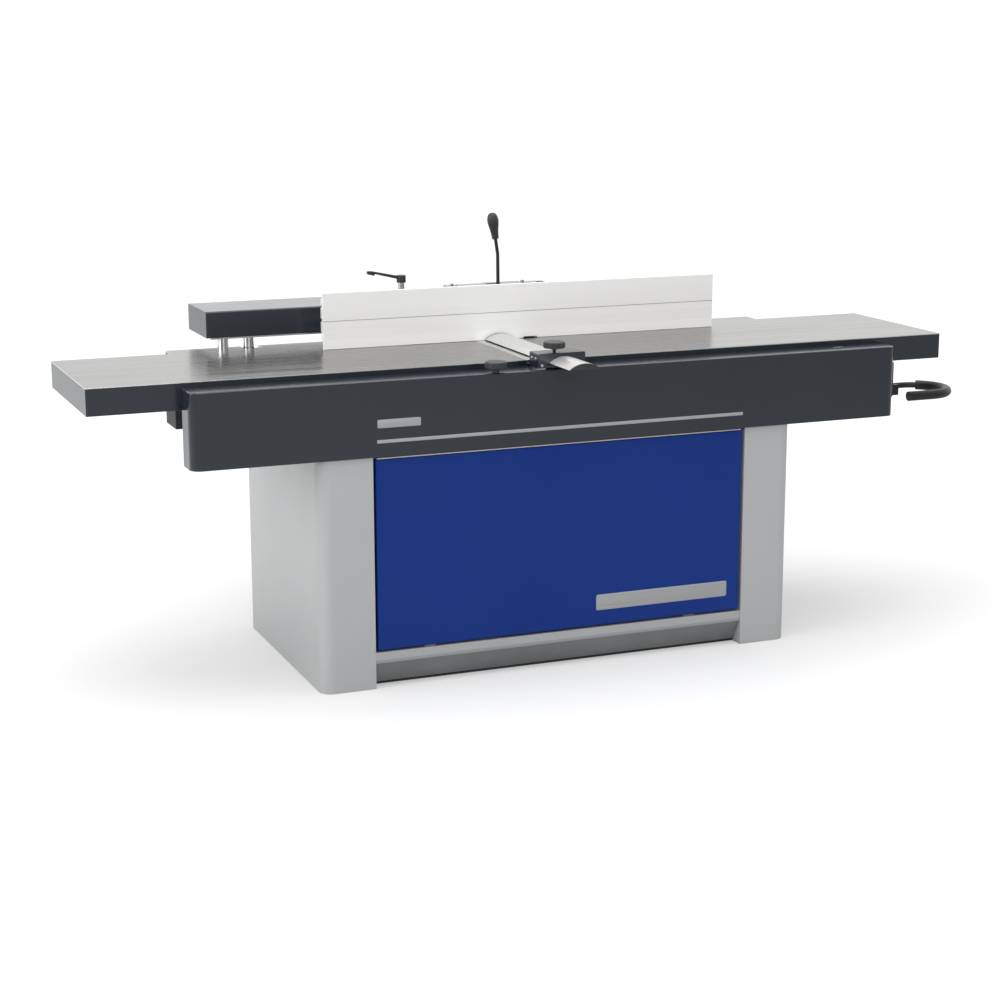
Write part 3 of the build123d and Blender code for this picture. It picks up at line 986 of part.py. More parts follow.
def holder():
    """The C-shaped holder that the guard slides through."""
    x0, x1 = HOLDER_X
    y0, y1 = HOLDER_Y
    low = GUARD_FOOT - CLEAR
    body = block(x0, x1, y0, y1, low, HOLDER_TOP)
    body = fillet(body.edges().filter_by(Axis.Y).group_by(Axis.Z)[-1], 4)
    room = arch(GUARD_WIDTH + 2 * CLEAR + 2, GUARD_RISE + CLEAR, GUARD_FOOT, low - CUT)
    body -= along_y(room, y0 - CUT, y1 + CUT)
    jaw = block(x0, GUARD_X + GUARD_WIDTH / 2, y0 + 6, y1 - 6, low - JAW - 5, low - 5)
    leg = block(x0, POST_X[1], y0 + 2, y1 - 6, low - JAW - 5, low + 1)
    shoe_half, shoe_top = 20, GUARD_CROWN - GUARD_THICK - 5
    shoe = block(GUARD_X - shoe_half, GUARD_X + shoe_half, y0 + 8, y1 - 8, low - 6, shoe_top)
    body = body + leg + jaw + shoe
    x, y = CLAMP_KNOB
    return body - rod_z(x, y, KNOB_STEM_R + RUN, GUARD_CROWN - 8, HOLDER_TOP + CUT)


# ---- fasteners -------------------------------------------------------------------------------
def cap_screw(x, y, z, radius=8.0, height=8.0):
    """A socket screw head that stands on a level face."""
    head = rod_z(x, y, radius, z, z + height)
    return head - rod_z(x, y, radius / 2, z + height / 2, z + height + CUT)


def fasteners():
    """Screw heads that show on the slotted plate and the feet of the pedestal."""
    x0, x1 = SLOT_PLATE
    y0, y1 = SLOT_PLATE_Y
    top = SLOT_PLATE_TOP
    right = PEDESTAL[1] - 14
    places = [(right, y0 + 14), (right, y1 - 14), (x0 + 34, y0 + 22), (x0 + 34, y1 - 22)]
    FASTENERS.extend(cap_screw(x, y, top, 6, 6) for x, y in places)
    foot = BASE_TOP + 14
    xs = (PEDESTAL[0] - 10, PEDESTAL[1] + 15)
    ys = (PEDESTAL_LEG[0] + 14, PEDESTAL_LEG[1] - 18)
    FASTENERS.extend(cap_screw(x, y, foot, 8 if x > 100 else 6) for x in xs for y in ys)
    put("fasteners", *FASTENERS)


def main():
    """Builds every node and writes one STEP file for each."""
    for build in (tables, cutterblock, motor, base, hood, apron, supports, depth_gear, fence, bridge, levers,
                  guard, fasteners):
        build()
    os.makedirs("parts", exist_ok=True)
    for node, shapes in NODES.items():
        solids = [solid for shape in shapes for solid in shape.solids()]
        whole = solids[0] if len(solids) == 1 else Compound(children=solids)
        export_step(whole, os.path.join("parts", node + ".step"))
    print(len(NODES), "nodes")


main()
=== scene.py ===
"""Looks of a long-bed surface planer (jointer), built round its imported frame.

The frame holds every mechanical piece. This script gives each of them its finish, adds the trim, plates,
plugs and screws that only show, and stands the machine in a pale studio. Lengths are metres in the frame's own
axes: +X to the infeed end, -Y to the operator, +Z up, origin on the floor under the middle of the base.
"""

import logging
import math
from dataclasses import dataclass
from enum import Enum
from typing import Iterable, Optional, Sequence, Tuple

import bmesh
import bpy
from mathutils import Matrix, Vector

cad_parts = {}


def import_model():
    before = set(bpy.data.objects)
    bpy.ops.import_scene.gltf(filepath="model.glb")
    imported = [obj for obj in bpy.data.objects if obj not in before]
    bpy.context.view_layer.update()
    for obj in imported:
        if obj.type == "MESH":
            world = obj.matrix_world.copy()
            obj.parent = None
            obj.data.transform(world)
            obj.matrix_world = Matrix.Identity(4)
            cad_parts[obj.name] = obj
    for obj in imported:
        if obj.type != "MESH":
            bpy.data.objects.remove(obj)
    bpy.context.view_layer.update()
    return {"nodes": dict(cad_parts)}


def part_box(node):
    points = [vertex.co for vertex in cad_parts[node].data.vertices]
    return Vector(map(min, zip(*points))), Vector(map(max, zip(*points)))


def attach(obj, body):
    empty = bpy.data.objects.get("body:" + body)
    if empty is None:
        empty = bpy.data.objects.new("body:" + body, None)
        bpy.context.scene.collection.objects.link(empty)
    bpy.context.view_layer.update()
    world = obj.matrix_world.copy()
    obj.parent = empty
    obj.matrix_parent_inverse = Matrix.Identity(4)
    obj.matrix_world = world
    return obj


LOG = logging.getLogger("planer")
TABLE_TOP = 0.915  # the working height
WHITE = (1.0, 1.0, 1.0, 1.0)

Colour = Tuple[float, float, float]
Triple = Tuple[float, float, float]
Pair = Tuple[float, float]


class Body(str, Enum):
    """The frame's bodies that carry added pieces."""

    BASE = "base"
    HOLDER = "guard_holder"
    START = "start_button"
    STOP = "stop_button"


class Slot(str, Enum):
    """The record's material slots, one named with each added piece."""

    GREY = "grey_paint"
    STEEL = "bare_steel"
    BLACK_PLASTIC = "black_plastic"
    RUBBER = "black_rubber"


class Edge(Enum):
    """How far a piece's sharp edges are broken, in metres."""

    KEEN = 0.0
    EASED = 0.0004
    BROKEN = 0.0008
    SOFT = 0.0015


# ---- node trees ------------------------------------------------------------------------------


class NodeSheet:
    """A material's node tree, with short ways to add and join its nodes."""

    def __init__(self, name: str) -> None:
        """Starts a material with one principled shader.

        Args:
            name: The material's name.
        """
        self.material = bpy.data.materials.new(name)
        self.material.use_nodes = True
        self.tree = self.material.node_tree
        self.shader = self.tree.nodes["Principled BSDF"]
        self.place = self.add("ShaderNodeTexCoord").outputs["Object"]

    def add(self, kind: str, **settings: object) -> bpy.types.Node:
        """Adds a node.

        Args:
            kind: Blender's name for the node type.
            settings: Attributes to set on it.

        Returns:
            The new node.
        """
        node = self.tree.nodes.new(kind)
        for key, value in settings.items():
            setattr(node, key, value)
        return node

    def join(self, source: bpy.types.NodeSocket, target: bpy.types.NodeSocket) -> None:
        """Links one socket to another."""
        self.tree.links.new(source, target)

    def drive(self, name: str, source: bpy.types.NodeSocket) -> None:
        """Feeds one of the shader's own sockets from another node."""
        self.join(source, self.shader.inputs[name])

    def set(self, **values: object) -> None:
        """Sets constants on the shader's own sockets, given with _ for each space."""
        for key, value in values.items():
            self.shader.inputs[key.replace("_", " ")].default_value = value

    def stretched(self, scale: Triple, turn: Triple = (0.0, 0.0, 0.0)) -> bpy.types.NodeSocket:
        """The object's coordinates, scaled and turned.

        Args:
            scale: The scale along each axis.
            turn: The turn about each axis, in radians.

        Returns:
            The vector socket.
        """
        mapping = self.add("ShaderNodeMapping")
        mapping.inputs["Scale"].default_value = scale
        mapping.inputs["Rotation"].default_value = turn
        self.join(self.place, mapping.inputs["Vector"])
        return mapping.outputs["Vector"]

    def noise(self, scale: float, detail: float = 3.0, roughness: float = 0.5,
              at: Optional[bpy.types.NodeSocket] = None) -> bpy.types.NodeSocket:
        """Cloudy noise.

        Args:
            scale: Clouds per metre, before any stretching.
            detail: Octaves.
            roughness: How strong the fine octaves are.
            at: The coordinates to read, or None for the object's own.

        Returns:
            The value socket, 0 to 1.
        """
        node = self.add("ShaderNodeTexNoise")
        node.inputs["Scale"].default_value = scale
        node.inputs["Detail"].default_value = detail
        node.inputs["Roughness"].default_value = roughness
        self.join(at or self.place, node.inputs["Vector"])
        return node.outputs["Fac"]

    def cells(self, scale: float, at: Optional[bpy.types.NodeSocket] = None) -> bpy.types.NodeSocket:
        """Distance to the nearest of many scattered points.

        Args:
            scale: Points per metre.
            at: The coordinates to read, or None for the object's own.

        Returns:
            The distance socket.
        """
        node = self.add("ShaderNodeTexVoronoi")
        node.inputs["Scale"].default_value = scale
        self.join(at or self.place, node.inputs["Vector"])
        return node.outputs["Distance"]

    def spread(self, source: bpy.types.NodeSocket, low: float, high: float,
               start: float = 0.25, end: float = 0.75) -> bpy.types.NodeSocket:
        """Carries a value's range from start..end over to low..high."""
        node = self.add("ShaderNodeMapRange")
        for key, value in (("From Min", start), ("From Max", end), ("To Min", low), ("To Max", high)):
            node.inputs[key].default_value = value
        self.join(source, node.inputs["Value"])
        return node.outputs["Result"]

    def tones(self, source: bpy.types.NodeSocket, *stops: Tuple[float, Colour]) -> bpy.types.NodeSocket:
        """A colour ramp.

        Args:
            source: The value that reads the ramp.
            stops: Pairs of place and linear colour.

        Returns:
            The colour socket.
        """
        node = self.add("ShaderNodeValToRGB")
        ramp = node.color_ramp
        for extra in range(len(stops) - len(ramp.elements)):
            ramp.elements.new(0.5)
        for element, (place, colour) in zip(ramp.elements, stops):
            element.position = place
            element.color = (*colour, 1.0)
        self.join(source, node.inputs["Fac"])
        return node.outputs["Color"]

    def blend(self, share: bpy.types.NodeSocket, first: object, second: object) -> bpy.types.NodeSocket:
        """Mixes two colours, each a socket or a linear colour, by a share from 0 to 1."""
        node = self.add("ShaderNodeMix", data_type="RGBA")
        self.join(share, node.inputs["Factor"])
        for socket, value in ((node.inputs[6], first), (node.inputs[7], second)):
            if isinstance(value, bpy.types.NodeSocket):
                self.join(value, socket)
            else:
                socket.default_value = (*value, 1.0)
        return node.outputs[2]

    def sum(self, kind: str, first: object, second: object) -> bpy.types.NodeSocket:
        """Combines two values, each a socket or a number, by one of Blender's maths operations."""
        node = self.add("ShaderNodeMath", operation=kind)
        for socket, value in zip(node.inputs, (first, second)):
            if isinstance(value, bpy.types.NodeSocket):
                self.join(value, socket)
            else:
                socket.default_value = value
        return node.outputs["Value"]

    def weighed(self, *parts: Tuple[bpy.types.NodeSocket, float]) -> bpy.types.NodeSocket:
        """Adds up values, each times its weight."""
        total, *rest = [self.sum("MULTIPLY", value, weight) for value, weight in parts]
        for part in rest:
            total = self.sum("ADD", total, part)
        return total

    def axes(self, source: Optional[bpy.types.NodeSocket] = None) -> bpy.types.NodeOutputs:
        """A vector's values by axis; the object's own coordinates unless another vector is given."""
        node = self.add("ShaderNodeSeparateXYZ")
        self.join(source or self.place, node.inputs["Vector"])
        return node.outputs

    def mottled(self, source: bpy.types.NodeSocket, colour: Colour, factors: Pair,
                start: float = 0.3, end: float = 0.7) -> bpy.types.NodeSocket:
        """A colour that drifts with a value, from the first to the second factor of its lightness."""
        low, high = factors
        return self.tones(source, (start, shade(colour, low)), (end, shade(colour, high)))

    def worn(self, source: bpy.types.NodeSocket, roughness: float, factors: Pair,
             start: float = 0.25, end: float = 0.75) -> None:
        """Lets the roughness drift with a value, from the first to the second factor of it."""
        low, high = factors
        self.drive("Roughness", self.spread(source, roughness * low, roughness * high, start, end))

    def relief(self, height: bpy.types.NodeSocket, depth: float) -> None:
        """Bumps the surface.

        Args:
            height: The height, 0 to 1.
            depth: What 1 stands for, in metres.
        """
        node = self.add("ShaderNodeBump")
        node.inputs["Distance"].default_value = depth
        node.inputs["Strength"].default_value = 1.0
        self.join(height, node.inputs["Height"])
        self.drive("Normal", node.outputs["Normal"])


def shade(colour: Colour, factor: float) -> Colour:
    """The colour made lighter (factor over 1) or darker."""
    return tuple(min(1.0, part * factor) for part in colour)


# ---- finishes --------------------------------------------------------------------------------


@dataclass(frozen=True)
class Paint:
    """Stoved spray paint with a faint orange peel and a slow drift of tone."""

    name: str
    colour: Colour
    roughness: float = 0.3
    gloss: float = 0.5
    drift: float = 0.05
    clouds_per_metre: float = 2.2
    wipes_per_metre: float = 9.0
    wear: Pair = (0.88, 1.14)
    peel_per_metre: float = 420.0
    peel_depth: float = 0.00004

    def build(self) -> bpy.types.Material:
        """The paint as a material."""
        sheet = NodeSheet(self.name)
        cloud = sheet.noise(self.clouds_per_metre)
        sheet.drive("Base Color", sheet.mottled(cloud, self.colour, (1 - self.drift, 1 + self.drift)))
        sheet.worn(sheet.noise(self.wipes_per_metre, 4.0, 0.6), self.roughness, self.wear)
        sheet.set(Specular_IOR_Level=self.gloss, Metallic=0.0)
        sheet.relief(sheet.noise(self.peel_per_metre, 2.0), self.peel_depth)
        return sheet.material


@dataclass(frozen=True)
class Metal:
    """Bare or plated metal with a grain that runs along one axis."""

    name: str
    colour: Colour
    roughness: float = 0.3
    metallic: float = 1.0
    grain: Triple = (4.0, 500.0, 500.0)
    grain_depth: float = 0.00001
    grain_share: float = 0.65
    clouds_per_metre: float = 6.0
    drift: float = 0.08
    wear: Pair = (0.8, 1.25)

    def build(self) -> bpy.types.Material:
        """The metal as a material."""
        sheet = NodeSheet(self.name)
        lines = sheet.noise(1.0, 3.0, 0.6, at=sheet.stretched(self.grain))
        cloud = sheet.noise(self.clouds_per_metre)
        mixed = sheet.weighed((lines, self.grain_share), (cloud, 1 - self.grain_share))
        factors = (1 - self.drift, 1 + self.drift)
        sheet.drive("Base Color", sheet.mottled(mixed, self.colour, factors, 0.32, 0.68))
        sheet.worn(mixed, self.roughness, self.wear, 0.3, 0.7)
        sheet.set(Metallic=self.metallic)
        sheet.relief(lines, self.grain_depth)
        return sheet.material


@dataclass(frozen=True)
class Casting:
    """A sand casting under paint: pebbled, with lighter dusty patches and darker ones at random."""

    name: str
    colour: Colour
    roughness: float = 0.55
    clouds_per_metre: float = 5.0
    dusted: float = 1.25
    shaded: float = 0.86
    wear: Pair = (0.85, 1.15)
    pebble_per_metre: float = 260.0
    pebble_depth: float = 0.00035

    def build(self) -> bpy.types.Material:
        """The casting as a material."""
        sheet = NodeSheet(self.name)
        pebble = sheet.noise(self.pebble_per_metre, 4.0, 0.6)
        cloud = sheet.noise(self.clouds_per_metre, 4.0, 0.55)
        dark, dusty = shade(self.colour, self.shaded), shade(self.colour, self.dusted)
        sheet.drive("Base Color", sheet.tones(cloud, (0.3, dark), (0.55, self.colour), (0.8, dusty)))
        sheet.worn(pebble, self.roughness, self.wear)
        sheet.set(Specular_IOR_Level=0.4)
        sheet.relief(pebble, self.pebble_depth)
        return sheet.material


@dataclass(frozen=True)
class Moulding:
    """Moulded plastic or rubber with a spark-eroded grain."""

    name: str
    colour: Colour
    roughness: float = 0.5
    gloss: float = 0.4
    grain_per_metre: float = 1500.0
    grain_depth: float = 0.00006
    rubs_per_metre: float = 40.0
    rubbed: Pair = (0.88, 1.16)
    wear: Pair = (0.85, 1.15)
    sheen: float = 0.0

    def build(self) -> bpy.types.Material:
        """The moulding as a material."""
        sheet = NodeSheet(self.name)
        grain = sheet.cells(self.grain_per_metre)
        rub = sheet.noise(self.rubs_per_metre)
        sheet.drive("Base Color", sheet.mottled(rub, self.colour, self.rubbed))
        sheet.worn(rub, self.roughness, self.wear)
        sheet.set(Specular_IOR_Level=self.gloss, Sheen_Weight=self.sheen, Sheen_Roughness=0.4)
        sheet.relief(grain, self.grain_depth)
        return sheet.material


@dataclass(frozen=True)
class GroundTable:
    """A table casting: ground on top, bright along the top edge, painted on the skirt and under it."""

    name: str
    top: float
    paint: Colour = (0.0120, 0.0185, 0.0260)
    iron: Colour = (0.250, 0.245, 0.239)
    bright: Colour = (0.80, 0.80, 0.79)
    edge: float = 0.0024
    level: float = 0.92
    top_roughness: float = 0.25
    top_wear: Pair = (0.72, 1.35)
    paint_roughness: float = 0.20
    paint_clouds_per_metre: float = 2.2
    paint_drift: Pair = (0.93, 1.07)
    gloss: float = 0.62
    swathe_grain: Triple = (0.9, 55.0, 1.0)
    line_grain: Triple = (3.0, 620.0, 1.0)
    patches_per_metre: float = 2.6
    shares: Triple = (0.6, 0.25, 0.15)
    ground_tones: Pair = (0.72, 1.16)
    swathe_rise: float = 1.5
    line_depth: float = 0.000012

    def build(self) -> bpy.types.Material:
        """The table's surfaces as one material."""
        sheet = NodeSheet(self.name)
        swathes = sheet.noise(1.0, 3.0, 0.6, at=sheet.stretched(self.swathe_grain))
        lines = sheet.noise(1.0, 2.0, 0.6, at=sheet.stretched(self.line_grain))
        patches = sheet.noise(self.patches_per_metre)
        mixed = sheet.weighed(*zip((swathes, lines, patches), self.shares))
        dark, light = (shade(self.iron, factor) for factor in self.ground_tones)
        ground = sheet.tones(mixed, (0.36, dark), (0.5, self.iron), (0.64, light))
        facing = sheet.axes(sheet.add("ShaderNodeTexCoord").outputs["Normal"])
        near_top = sheet.sum("GREATER_THAN", sheet.axes()["Z"], self.top - self.edge)
        flat = sheet.sum("MULTIPLY", near_top, sheet.sum("GREATER_THAN", facing["Z"], self.level))
        coat = sheet.mottled(sheet.noise(self.paint_clouds_per_metre), self.paint, self.paint_drift)
        sides = sheet.blend(near_top, coat, self.bright)
        sheet.drive("Base Color", sheet.blend(flat, sides, ground))
        sheet.drive("Metallic", near_top)
        low, high = (self.top_roughness * factor for factor in self.top_wear)
        rough = sheet.add("ShaderNodeMix", data_type="FLOAT")
        sheet.join(near_top, rough.inputs["Factor"])
        rough.inputs[2].default_value = self.paint_roughness
        sheet.join(sheet.spread(mixed, low, high, 0.36, 0.64), rough.inputs[3])
        sheet.drive("Roughness", rough.outputs[0])
        sheet.set(Specular_IOR_Level=self.gloss)
        rise = sheet.sum("ADD", lines, sheet.sum("MULTIPLY", swathes, self.swathe_rise))
        sheet.relief(rise, self.line_depth)
        return sheet.material


@dataclass(frozen=True)
class PlinthPaintAndShade:
    """The plinth rail's light grey paint, with painted shade on the slope under the band: the slope is given a
    darker grey for the shade it lies in.
    """

    name: str
    band: Colour = (0.410, 0.420, 0.430)
    # painted shade: the slope's colour is the band's grey darkened to stand in for the shade on the slope
    slope: Colour = (0.205, 0.212, 0.216)
    band_drift: Pair = (0.97, 1.03)
    slope_drift: Pair = (0.90, 1.12)
    break_height: float = 0.0735
    scuffs_per_metre: float = 7.0
    roughness: Pair = (0.34, 0.44)
    peel_per_metre: float = 420.0
    peel_depth: float = 0.00003

    def build(self) -> bpy.types.Material:
        """The paint, with the painted shade on the slope, as a material."""
        sheet = NodeSheet(self.name)
        upper = sheet.sum("GREATER_THAN", sheet.axes()["Z"], self.break_height)
        scuff = sheet.noise(self.scuffs_per_metre, 4.0, 0.6)
        band = sheet.mottled(scuff, self.band, self.band_drift)
        # painted shade: below the break the slope takes the darker grey in place of real shade
        slope = sheet.mottled(scuff, self.slope, self.slope_drift)
        sheet.drive("Base Color", sheet.blend(upper, slope, band))
        sheet.drive("Roughness", sheet.spread(scuff, *self.roughness))
        sheet.set(Specular_IOR_Level=0.4)
        sheet.relief(sheet.noise(self.peel_per_metre, 2.0), self.peel_depth)
        return sheet.material


@dataclass(frozen=True)
class FenceSkin:
    """The fence's clear anodising: a fine lengthwise grain, a painted shadow line where the groove runs and a
    lighter foot.
    """

    name: str
    colour: Colour = (0.91, 0.905, 0.895)
    metallic: float = 0.06
    groove_height: float = 1.0
    groove_half: float = 0.0011
    # painted shadow: how dark the thin band that stands in for the groove's shade is
    groove_shade: float = 0.42
    foot_height: float = 0.945
    foot_shade: float = 1.04
    line_grain: Triple = (1.2, 420.0, 420.0)
    band_grain: Triple = (0.5, 30.0, 30.0)
    drift: Pair = (0.965, 1.025)
    roughness: float = 0.40
    wear: Pair = (0.85, 1.2)
    line_depth: float = 0.00001

    def build(self) -> bpy.types.Material:
        """The anodising as a material."""
        sheet = NodeSheet(self.name)
        lines = sheet.noise(1.0, 3.0, 0.6, at=sheet.stretched(self.line_grain))
        bands = sheet.noise(1.0, 2.0, 0.5, at=sheet.stretched(self.band_grain))
        mixed = sheet.weighed((lines, 0.5), (bands, 0.5))
        tone = sheet.mottled(mixed, self.colour, self.drift, 0.32, 0.68)
        height = sheet.axes()["Z"]
        # painted shadow: a thin dark band at the groove's height stands in for the shade inside the groove
        above = sheet.sum("GREATER_THAN", height, self.groove_height - self.groove_half)
        below = sheet.sum("LESS_THAN", height, self.groove_height + self.groove_half)
        groove = sheet.sum("MULTIPLY", above, below)
        foot = sheet.sum("LESS_THAN", height, self.foot_height)
        tone = sheet.blend(foot, tone, shade(self.colour, self.foot_shade))
        sheet.drive("Base Color", sheet.blend(groove, tone, shade(self.colour, self.groove_shade)))
        sheet.worn(mixed, self.roughness, self.wear, 0.3, 0.7)
        sheet.set(Metallic=self.metallic)
        sheet.relief(lines, self.line_depth)
        return sheet.material


@dataclass(frozen=True)
class Belting:
    """Ribbed rubber belting."""

    name: str = "ribbed belting"
    colour: Colour = (0.012, 0.012, 0.013)
    dust: Pair = (1.0, 3.0)
    dust_per_metre: float = 90.0
    rib_scale: float = 70.0
    rib_depth: float = 0.0006

    def build(self) -> bpy.types.Material:
        """The belting as a material."""
        sheet = NodeSheet(self.name)
        wave = sheet.add("ShaderNodeTexWave", bands_direction="Y")
        wave.inputs["Scale"].default_value = self.rib_scale
        sheet.join(sheet.place, wave.inputs["Vector"])
        cloud = sheet.noise(self.dust_per_metre, 4.0)
        sheet.drive("Base Color", sheet.mottled(cloud, self.colour, self.dust, 0.4, 0.8))
        sheet.set(Roughness=0.7, Specular_IOR_Level=0.3)
        sheet.relief(wave.outputs["Fac"], self.rib_depth)
        return sheet.material


class Finish(Enum):
    """Every finish on the machine."""

    ANTHRACITE = Paint("anthracite paint", (0.0115, 0.0185, 0.026), roughness=0.18, gloss=0.62,
                       peel_depth=0.00002)
    ANTHRACITE_DEEP = Paint("anthracite paint inside", (0.017, 0.020, 0.025), roughness=0.42)
    GREY = Paint("light grey paint", (0.44, 0.45, 0.455), roughness=0.34, gloss=0.6, drift=0.025)
    # painted shade: the plinth slope is coloured darker for the shade it lies in
    GREY_PLINTH = PlinthPaintAndShade("grey paint with painted shade on the plinth slope")
    BLUE = Paint("blue paint", (0.0035, 0.0300, 0.215), roughness=0.34, gloss=0.20, drift=0.05)
    PALE_SEAL = Paint("pale seal", (0.70, 0.64, 0.56), roughness=0.5, drift=0.02)
    PALE_MARK = Paint("pale marking paint", (0.36, 0.37, 0.38), roughness=0.45, drift=0.03)
    TABLE = GroundTable("ground and painted iron", TABLE_TOP)
    CAST = Casting("painted casting", (0.030, 0.033, 0.037))
    CAST_BARE = Casting("bare casting", (0.14, 0.14, 0.145), roughness=0.45)
    STEEL = Metal("machined steel", (0.52, 0.52, 0.53), roughness=0.32)
    STEEL_ROUND = Metal("turned steel", (0.50, 0.50, 0.51), roughness=0.28, grain=(40.0, 300.0, 40.0))
    SHEET_STEEL = Metal("galvanised sheet", (0.44, 0.45, 0.46), roughness=0.42, grain=(30.0, 30.0, 30.0))
    BRIGHT_LIP = Metal("ground steel lip", (0.62, 0.62, 0.62), roughness=0.24, grain=(400.0, 6.0, 400.0))
    BLACK_STEEL = Metal("blacked steel", (0.030, 0.030, 0.032), roughness=0.38, metallic=0.6)
    CHROME = Metal("hard chrome", (0.74, 0.73, 0.72), roughness=0.10, grain=(60.0, 60.0, 8.0), drift=0.03)
    ANODISED = FenceSkin("clear anodised fence")
    GUARD_SKIN = Metal("anodised guard", (0.56, 0.56, 0.55), roughness=0.34, metallic=0.6,
                       grain=(420.0, 1.2, 420.0), drift=0.025)
    BLACK_PLASTIC = Moulding("black moulding", (0.030, 0.030, 0.031), roughness=0.46)
    DARK_KNOB = Moulding("dark knob moulding", (0.026, 0.026, 0.026), roughness=0.46, gloss=0.45)
    RUBBER = Moulding("grip rubber", (0.013, 0.014, 0.016), roughness=0.42, gloss=0.35, sheen=0.03)
    GREEN = Moulding("green button", (0.006, 0.17, 0.03), roughness=0.3, grain_depth=0.00001)
    RED = Moulding("red button", (0.45, 0.008, 0.006), roughness=0.3, grain_depth=0.00001)
    BELT = Belting()


class Paintshop:
    """Makes each finish once and puts it on pieces."""

    def __init__(self) -> None:
        """Starts with no finish made."""
        self.made: dict[Finish, bpy.types.Material] = {}

    def material(self, finish: Finish) -> bpy.types.Material:
        """The material for a finish, made on first use."""
        if finish not in self.made:
            self.made[finish] = finish.value.build()
        return self.made[finish]

    def coat(self, piece: bpy.types.Object, finish: Finish) -> bpy.types.Object:
        """Gives a piece one finish all over.

        Args:
            piece: A mesh piece or a node of the frame.
            finish: What it gets.

        Returns:
            The same piece.
        """
        piece.data.materials.clear()
        piece.data.materials.append(self.material(finish))
        return piece


# ---- mesh work -------------------------------------------------------------------------------


